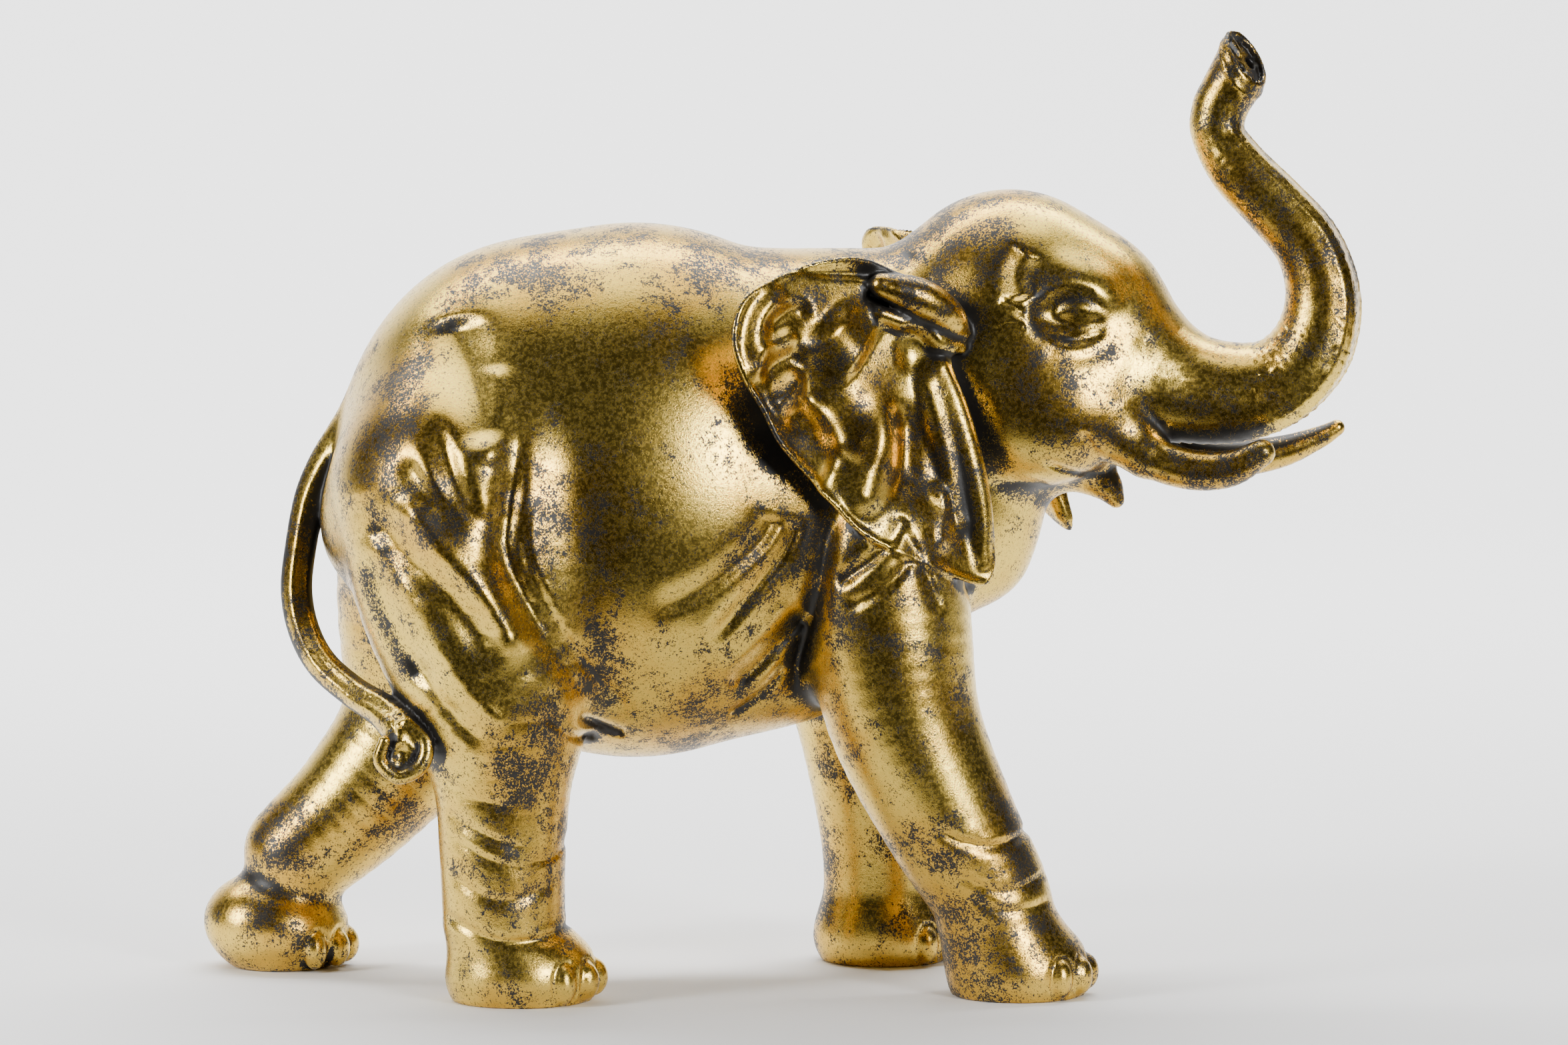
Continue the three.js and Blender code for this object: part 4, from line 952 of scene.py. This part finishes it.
@dataclass
class Skin:
    """Turns a sculpt into a closed mesh. Sizes are in millimetres."""

    sculpt: Sculpt
    cell: float = 0.75
    coarse: int = 4
    coarse_block: float = 16.0
    margin: float = 1.2
    probe: float = 0.22
    longest_step: float = 0.5
    reaches: tuple[float, float, float] = (0.9, 3.0, 9.0)
    low: tuple[float, float, float] = (-134, -66, -3)
    high: tuple[float, float, float] = (132, 74, 216)
    faces: int = 196_000

    def grid(self) -> tuple[np.ndarray, np.ndarray]:
        """Samples the sculpt on a grid, finely only near its skin.

        Returns:
            The grid of distances and the place of its first point.
        """
        low = np.array(self.low, float)
        counts = np.ceil((np.array(self.high) - low) / self.cell / self.coarse).astype(int)
        wide = self.cell * self.coarse
        axes = [low[i] + wide * np.arange(counts[i] + 1) for i in range(3)]
        corners = np.stack(np.meshgrid(*axes, indexing="ij"), -1).reshape(-1, 3)
        values = self.sculpt.sample(corners, self.coarse_block).reshape([len(a) for a in axes])
        for axis in range(3):
            first = np.moveaxis(values, axis, 0)
            steps = [first[:-1] + (first[1:] - first[:-1]) * (k / self.coarse) for k in range(self.coarse)]
            fine = np.stack(steps, 1).reshape(-1, *first.shape[1:])
            values = np.moveaxis(np.concatenate([fine, first[-1:]]), 0, axis)
        values = np.ascontiguousarray(values, np.float32)
        near = np.argwhere(np.abs(values) < 0.75 * wide + self.margin)
        values[tuple(near.T)] = self.sculpt.sample(near * self.cell + low)
        return values, low

    def nets(self) -> tuple[np.ndarray, np.ndarray]:
        """Skins the grid: a vertex in each cell that the skin passes, a face across each cut edge.

        Returns:
            The vertices in millimetres and the four corners of each face.
        """
        values, low = self.grid()
        inside = values < 0
        nx, ny, nz = values.shape
        corners = [(i, j, k) for i in (0, 1) for j in (0, 1) for k in (0, 1)]
        count = sum(inside[i:nx - 1 + i, j:ny - 1 + j, k:nz - 1 + k].astype(np.int8) for i, j, k in corners)
        active = (count > 0) & (count < 8)
        cells = np.argwhere(active)
        names = np.full(active.shape, -1, np.int64)
        names[active] = np.arange(len(cells))
        total, hits = np.zeros((len(cells), 3)), np.zeros(len(cells))
        held = {c: values[cells[:, 0] + c[0], cells[:, 1] + c[1], cells[:, 2] + c[2]] for c in corners}
        for corner in corners:
            for axis in range(3):
                if corner[axis] == 0:
                    other = tuple(1 if i == axis else corner[i] for i in range(3))
                    a, b = held[corner], held[other]
                    cut = (a < 0) != (b < 0)
                    place = np.repeat(np.array(corner, float)[None, :], len(cells), 0)
                    place[:, axis] = np.where(cut, a / np.where(cut, a - b, 1), 0)
                    total += place * cut[:, None]
                    hits += cut
        vertices = (cells + total / hits[:, None]) * self.cell + low
        faces = []
        for axis in range(3):
            span = [slice(None)] * 3
            span[axis] = slice(0, -1)
            ahead = list(span)
            ahead[axis] = slice(1, None)
            first, second = inside[tuple(span)], inside[tuple(ahead)]
            cuts = np.argwhere(first != second)
            one, two = (axis + 1) % 3, (axis + 2) % 3
            outwards = first[tuple(cuts.T)]
            ring = []
            for step_one, step_two in ((-1, -1), (0, -1), (0, 0), (-1, 0)):
                cell = cuts.copy()
                cell[:, one] += step_one
                cell[:, two] += step_two
                ring.append(names[tuple(cell.T)])
            quads = np.stack(ring, 1)
            quads[~outwards] = quads[~outwards][:, ::-1]
            faces.append(quads)
        return vertices, np.vstack(faces)

    def tighten(self, places: np.ndarray) -> tuple[np.ndarray, np.ndarray, np.ndarray]:
        """Draws vertices onto the finest carving and reads the skin there.

        Args:
            places: Vertices in millimetres.

        Returns:
            The vertices on the skin, the skin's normals, and how sheltered each one is at three
            reaches, from 0 in the open to 1 deep in a fold.
        """
        offsets = np.vstack([np.eye(3), -np.eye(3)]) * self.probe
        normals = np.zeros_like(places)
        for _ in range(2):
            stack = np.vstack([places, *[places + offset for offset in offsets]])
            values = self.sculpt.sample(stack).reshape(7, -1)
            slopes = np.stack([values[1 + i] - values[4 + i] for i in range(3)], 1) / (2 * self.probe)
            steep = np.linalg.norm(slopes, axis=1, keepdims=True) + 1e-6
            normals = slopes / steep
            step = np.clip(values[0][:, None] / steep, -self.longest_step, self.longest_step)
            places = places - normals * step
        stack = np.vstack([places + normals * reach for reach in self.reaches])
        open_air = self.sculpt.sample(stack).reshape(len(self.reaches), -1)
        shelter = np.stack([1 - row / reach for row, reach in zip(open_air, self.reaches)], 1)
        return places, normals, np.clip(shelter, 0, 1)


def linear(code: str) -> tuple[float, float, float, float]:
    """Turns an sRGB hex colour to linear light.

    Args:
        code: A colour such as "#c09a3c".

    Returns:
        Red, green, blue and an alpha of 1.
    """
    parts = [int(code[i:i + 2], 16) / 255 for i in (1, 3, 5)]
    r, g, b = (p / 12.92 if p <= 0.04045 else ((p + 0.055) / 1.055) ** 2.4 for p in parts)
    return r, g, b, 1.0


def add_node(material: bpy.types.Material, kind: str, settings: dict | None = None,
             links: dict | None = None) -> bpy.types.Node:
    """Adds a node with its settings and its links.

    Args:
        material: The material to add to.
        kind: The node's type name.
        settings: Values for sockets, by name or number, or for the node's own properties.
        links: Sockets that feed this node's sockets, by name or number.

    Returns:
        The new node.
    """
    node = material.node_tree.nodes.new(kind)
    for key, value in (settings or {}).items():
        if isinstance(key, int) or key in node.inputs:
            node.inputs[key].default_value = value
        else:
            setattr(node, key, value)
    for key, socket in (links or {}).items():
        material.node_tree.links.new(socket, node.inputs[key])
    return node


@dataclass(frozen=True)
class GoldLeafOnBlack:
    """Antique gold leaf on cast polyresin, laid over a black undercoat and rubbed back.

    The leaf gives a warm mirror gloss broken into fine specks. Where it was rubbed, and down in
    the folds, the black undercoat shows, with grey dust where the surface faces up. Broad hollows,
    such as between ear and neck, are darkened to the undercoat as painted shade. Each wear is a
    rise: from and to on its own scale, then the share of wear at both.
    """

    leaf: str = "#e8c65c"
    deep_leaf: str = "#cfa340"
    undercoat: str = "#1a1713"
    dust: str = "#57534a"
    leaf_roughness: float = 0.24
    undercoat_roughness: float = 0.42
    speck_mm: float = 0.42
    patch_mm: float = 7.0
    cloud_mm: float = 30.0
    crease_wear: tuple[float, ...] = (0.08, 0.5, 0.0, 0.85)
    fold_wear: tuple[float, ...] = (0.22, 0.85, 0.0, 0.85)
    # painted shade: broad hollows, such as between ear and neck, darkened towards the undercoat
    broad_hollow_shade: tuple[float, ...] = (0.5, 1.0, 0.0, 0.5)
    drift_wear: tuple[float, ...] = (0.46, 0.6, 0.12, 0.54)
    grit_wear: tuple[float, ...] = (0.34, 0.66, 0.0, 0.75)
    bare_from: float = 0.71
    bare_to: float = 0.79

    def build(self) -> bpy.types.Material:
        """Makes the material's nodes.

        Returns:
            The material.
        """
        material = bpy.data.materials.new("gold_leaf_rubbed_over_black_resin")
        material.use_nodes = True
        tree = material.node_tree
        tree.nodes.clear()
        place = add_node(material, "ShaderNodeTexCoord").outputs["Object"]

        def noise(size_mm: float, detail: float, roughness: float = 0.6) -> bpy.types.NodeSocket:
            """Adds a noise whose lumps are about so many millimetres across."""
            settings = {"Scale": 1 / (size_mm * MM), "Detail": detail, "Roughness": roughness}
            return add_node(material, "ShaderNodeTexNoise", settings, {"Vector": place}).outputs["Fac"]

        def ramp(source: bpy.types.NodeSocket, low: float, high: float, low_to: float = 0.0,
                 high_to: float = 1.0) -> bpy.types.NodeSocket:
            """Adds a smooth rise between two values of a source."""
            settings = {"interpolation_type": "SMOOTHSTEP", "From Min": low, "From Max": high,
                        "To Min": low_to, "To Max": high_to}
            return add_node(material, "ShaderNodeMapRange", settings, {"Value": source}).outputs[0]

        def math_node(kind: str, a: Value, b: Value) -> bpy.types.NodeSocket:
            """Adds one sum of two values."""
            settings = {"operation": kind} | {i: v for i, v in enumerate((a, b)) if isinstance(v, float)}
            links = {i: v for i, v in enumerate((a, b)) if not isinstance(v, float)}
            return add_node(material, "ShaderNodeMath", settings, links).outputs[0]

        def shade(fac: bpy.types.NodeSocket, a: Colour, b: Colour) -> bpy.types.NodeSocket:
            """Adds a mix of two colours."""
            sides = ((6, a), (7, b))
            settings = {"data_type": "RGBA"} | {i: linear(v) for i, v in sides if isinstance(v, str)}
            links = {0: fac} | {i: v for i, v in sides if not isinstance(v, str)}
            return add_node(material, "ShaderNodeMix", settings, links).outputs[2]

        shelter = add_node(material, "ShaderNodeAttribute", {"attribute_name": "shelter"})
        split = add_node(material, "ShaderNodeSeparateColor", None, {0: shelter.outputs["Color"]})
        crease, fold, broad = split.outputs
        up = add_node(material, "ShaderNodeAttribute", {"attribute_name": "upwards"}).outputs["Fac"]

        specks = noise(self.speck_mm, 3.0, 0.75)
        grains = noise(self.speck_mm * 2.2, 4.0, 0.7)
        patches = noise(self.patch_mm, 6.0, 0.72)
        clouds = noise(self.cloud_mm, 3.0, 0.55)

        # How far the leaf is rubbed away: in folds, in drifting patches, and speck by speck. Broad hollows
        # are darkened too, as painted shade.
        in_folds = math_node("MAXIMUM", ramp(crease, *self.crease_wear), ramp(fold, *self.fold_wear))
        # sheltered: black patina in creases and folds, plus painted shade in broad hollows
        sheltered = math_node("MAXIMUM", in_folds, ramp(broad, *self.broad_hollow_shade))
        drifts = math_node("ADD", math_node("MULTIPLY", patches, 0.6), math_node("MULTIPLY", clouds, 0.4))
        rubbed = ramp(drifts, *self.drift_wear)
        # wear: real rubbing and patina, plus the painted shade of broad hollows
        wear = math_node("ADD", sheltered, rubbed)
        grit = math_node("ADD", math_node("MULTIPLY", specks, 0.62), math_node("MULTIPLY", grains, 0.38))
        spread = ramp(grit, *self.grit_wear)
        # bare: where the undercoat shows, both where the leaf is worn and where broad hollows get painted
        # shade
        bare_and_shaded = ramp(math_node("ADD", wear, spread), self.bare_from, self.bare_to)

        tone = ramp(clouds, 0.35, 0.65)
        leaf = shade(tone, self.leaf, self.deep_leaf)
        dusty = math_node("MULTIPLY", ramp(patches, 0.55, 0.7), ramp(up, 0.2, 0.9))
        ground = shade(math_node("MULTIPLY", dusty, 0.8), self.undercoat, self.dust)
        colour = shade(bare_and_shaded, leaf, ground)
        metal = math_node("SUBTRACT", 1.0, bare_and_shaded)
        gloss = ramp(grains, 0.3, 0.7, self.leaf_roughness - 0.05, self.leaf_roughness + 0.08)
        rough = add_node(material, "ShaderNodeMix", {"data_type": "FLOAT", 3: self.undercoat_roughness},
                         {0: bare_and_shaded, 2: gloss}).outputs[0]

        bump_fine = add_node(material, "ShaderNodeBump", {"Strength": 0.32, "Distance": 0.12 * MM},
                             {"Height": specks})
        bump = add_node(material, "ShaderNodeBump", {"Strength": 0.12, "Distance": 0.4 * MM},
                        {"Height": grains, "Normal": bump_fine.outputs[0]})
        surface = add_node(material, "ShaderNodeBsdfPrincipled", None, {
            "Base Color": colour, "Metallic": metal, "Roughness": rough, "Normal": bump.outputs[0]})
        add_node(material, "ShaderNodeOutputMaterial", None, {"Surface": surface.outputs[0]})
        return material


@dataclass
class Figurine:
    """The casting: its skin, its fine carving and its finish."""

    sculpt: Sculpt = field(default_factory=Sculpt)
    finish: GoldLeafOnBlack = field(default_factory=GoldLeafOnBlack)
    clearance: float = 0.04

    def rough_mesh(self, skin: Skin) -> bpy.types.Mesh:
        """Makes the thinned skin.

        Args:
            skin: What turns the sculpt to a mesh.

        Returns:
            A triangle mesh in millimetres.
        """
        vertices, faces = skin.nets()
        mesh = bpy.data.meshes.new("casting_rough")
        mesh.vertices.add(len(vertices))
        mesh.vertices.foreach_set("co", vertices.astype(np.float32).ravel())
        mesh.loops.add(faces.size)
        mesh.loops.foreach_set("vertex_index", faces.astype(np.int32).ravel())
        mesh.polygons.add(len(faces))
        mesh.polygons.foreach_set("loop_start", np.arange(0, faces.size, 4, dtype=np.int32))
        mesh.update(calc_edges=True)
        mesh.validate()
        rough = bpy.data.objects.new("casting_rough", mesh)
        bpy.context.scene.collection.objects.link(rough)
        rough.modifiers.new("triangles", "TRIANGULATE")
        thin = rough.modifiers.new("thin", "DECIMATE")
        thin.ratio = min(1.0, skin.faces / (2 * len(faces)))
        graph = bpy.context.evaluated_depsgraph_get()
        thinned = bpy.data.meshes.new_from_object(rough.evaluated_get(graph))
        bpy.data.objects.remove(rough)
        LOG.info("skin of %d faces thinned to %d", len(faces), len(thinned.polygons))
        return thinned

    def build(self) -> bpy.types.Object:
        """Builds the casting in the frame.

        Returns:
            The finished piece.
        """
        skin = Skin(self.sculpt)
        mesh = self.rough_mesh(skin)
        count = len(mesh.vertices)
        places = np.empty(count * 3, np.float32)
        mesh.vertices.foreach_get("co", places)
        places, normals, shelter = skin.tighten(places.reshape(-1, 3).astype(float))
        low, high = (np.array(corner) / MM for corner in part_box(NODE))
        size = places.max(0) - places.min(0)
        scale = (high - low - self.clearance) / size
        LOG.info("sculpt of %s mm fitted by %s", size.round(2), scale.round(5))
        places = (places - (places.max(0) + places.min(0)) / 2) * scale + (low + high) / 2
        mesh.vertices.foreach_set("co", (places * MM).astype(np.float32).ravel())
        mesh.update()
        # shelter: how deep each vertex lies in a hollow at three reaches; the finish turns the broadest
        # reach into painted shade
        colours = np.ones((count, 4), np.float32)
        colours[:, :3] = shelter
        attribute = mesh.color_attributes.new("shelter", "FLOAT_COLOR", "POINT")
        attribute.data.foreach_set("color", colours.ravel())
        upwards = mesh.attributes.new("upwards", "FLOAT", "POINT")
        upwards.data.foreach_set("value", np.clip(normals[:, 2], 0, 1).astype(np.float32))
        mesh.polygons.foreach_set("use_smooth", np.ones(len(mesh.polygons), bool))
        mesh.normals_split_custom_set_from_vertices(normals.astype(float).tolist())
        mesh.materials.append(self.finish.build())
        mesh.name = "elephant_casting"
        piece = bpy.data.objects.new("elephant_casting", mesh)
        bpy.context.scene.collection.objects.link(piece)
        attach(piece, BODY)
        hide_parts(NODE)
        return piece


@dataclass(frozen=True)
class SoftBox:
    """One soft light: where it hangs and what it faces in metres, its size and its power."""

    name: str
    place: tuple[float, float, float]
    size: tuple[float, float]
    watts: float
    faces: tuple[float, float, float] = (0, 0, 0.1)

    def build(self) -> bpy.types.Object:
        """Hangs the light.

        Returns:
            The light.
        """
        data = bpy.data.lights.new(self.name, "AREA")
        data.shape, data.energy = "RECTANGLE", self.watts
        data.size, data.size_y = self.size
        light = bpy.data.objects.new(self.name, data)
        light.location = self.place
        aim = Vector(self.faces) - Vector(self.place)
        light.rotation_euler = aim.to_track_quat("-Z", "Y").to_euler()
        bpy.context.scene.collection.objects.link(light)
        return light


@dataclass
class Studio:
    """A pale floor and sweep, four soft lights and the camera at the photograph's angle.

    Lengths are in metres and angles in degrees.
    """

    azimuth: float = -4.0
    elevation: float = 5.0
    distance: float = 1.5
    target: tuple[float, float, float] = (0.0016, -0.00545, 0.103)
    frame_width: float = 0.3504
    floor_front: float = -0.13
    half_width: float = 2.6
    bend_start: float = 1.15
    bend_radius: float = 0.5
    bend_steps: int = 12
    wall_top: float = 2.2
    paper: str = "#f4f4f4"
    paper_roughness: float = 0.9
    sky_strength: float = 0.015
    sensor: float = 36.0
    lights: tuple[SoftBox, ...] = (
        SoftBox("soft_box_left", (-1.1, -0.5, 0.5), (0.24, 0.6), 13),
        SoftBox("soft_box_right", (0.72, -1.15, 0.42), (0.3, 0.46), 16),
        SoftBox("soft_box_top", (0.0, 0.15, 1.3), (1.2, 0.8), 10),
        SoftBox("soft_box_back", (0.0, 0.6, 1.3), (2.2, 0.4), 68, (0, 1.4, 0.3)),
    )

    def sweep(self) -> bpy.types.Object:
        """Lays the pale floor and bends it up behind the figure.

        Returns:
            The floor.
        """
        start, radius = self.bend_start, self.bend_radius
        turns = np.linspace(0.1, math.pi / 2, self.bend_steps)
        rows = [(self.floor_front, 0.0), (start, 0.0)]
        rows += [(start + radius * math.sin(a), radius - radius * math.cos(a)) for a in turns]
        rows.append((start + radius, self.wall_top))
        vertices = [(x, y, z) for y, z in rows for x in (-self.half_width, self.half_width)]
        faces = [(2 * i, 2 * i + 1, 2 * i + 3, 2 * i + 2) for i in range(len(rows) - 1)]
        mesh = bpy.data.meshes.new("studio_floor")
        mesh.from_pydata(vertices, [], faces)
        mesh.polygons.foreach_set("use_smooth", [True] * len(faces))
        paper = bpy.data.materials.new("matt_white_paper")
        paper.use_nodes = True
        surface = paper.node_tree.nodes["Principled BSDF"]
        surface.inputs["Base Color"].default_value = linear(self.paper)
        surface.inputs["Roughness"].default_value = self.paper_roughness
        mesh.materials.append(paper)
        floor = bpy.data.objects.new("studio_floor", mesh)
        bpy.context.scene.collection.objects.link(floor)
        return floor

    def build(self) -> None:
        """Sets up the floor, the lights, the surroundings and the camera."""
        self.sweep()
        for light in self.lights:
            light.build()
        world = bpy.data.worlds.new("studio")
        world.use_nodes = True
        world.node_tree.nodes["Background"].inputs[0].default_value = linear("#ffffff")
        world.node_tree.nodes["Background"].inputs[1].default_value = self.sky_strength
        bpy.context.scene.world = world
        data = bpy.data.cameras.new("camera")
        data.sensor_width = self.sensor
        data.lens = self.sensor * self.distance / self.frame_width
        camera = bpy.data.objects.new("camera", data)
        az, el = math.radians(self.azimuth), math.radians(self.elevation)
        back = Vector((math.sin(az) * math.cos(el), -math.cos(az) * math.cos(el), math.sin(el)))
        camera.location = Vector(self.target) + back * self.distance
        camera.rotation_euler = (-back).to_track_quat("-Z", "Y").to_euler()
        bpy.context.scene.collection.objects.link(camera)
        bpy.context.scene.camera = camera


def main() -> None:
    """Builds the casting and the studio."""
    logging.basicConfig(level=logging.INFO, format="%(message)s")
    casting = Figurine().build()
    mesh = casting.data
    LOG.info("%s: %d vertices, %d faces", casting.name, len(mesh.vertices), len(mesh.polygons))
    Studio().build()


if __name__ == "__main__":
    main()
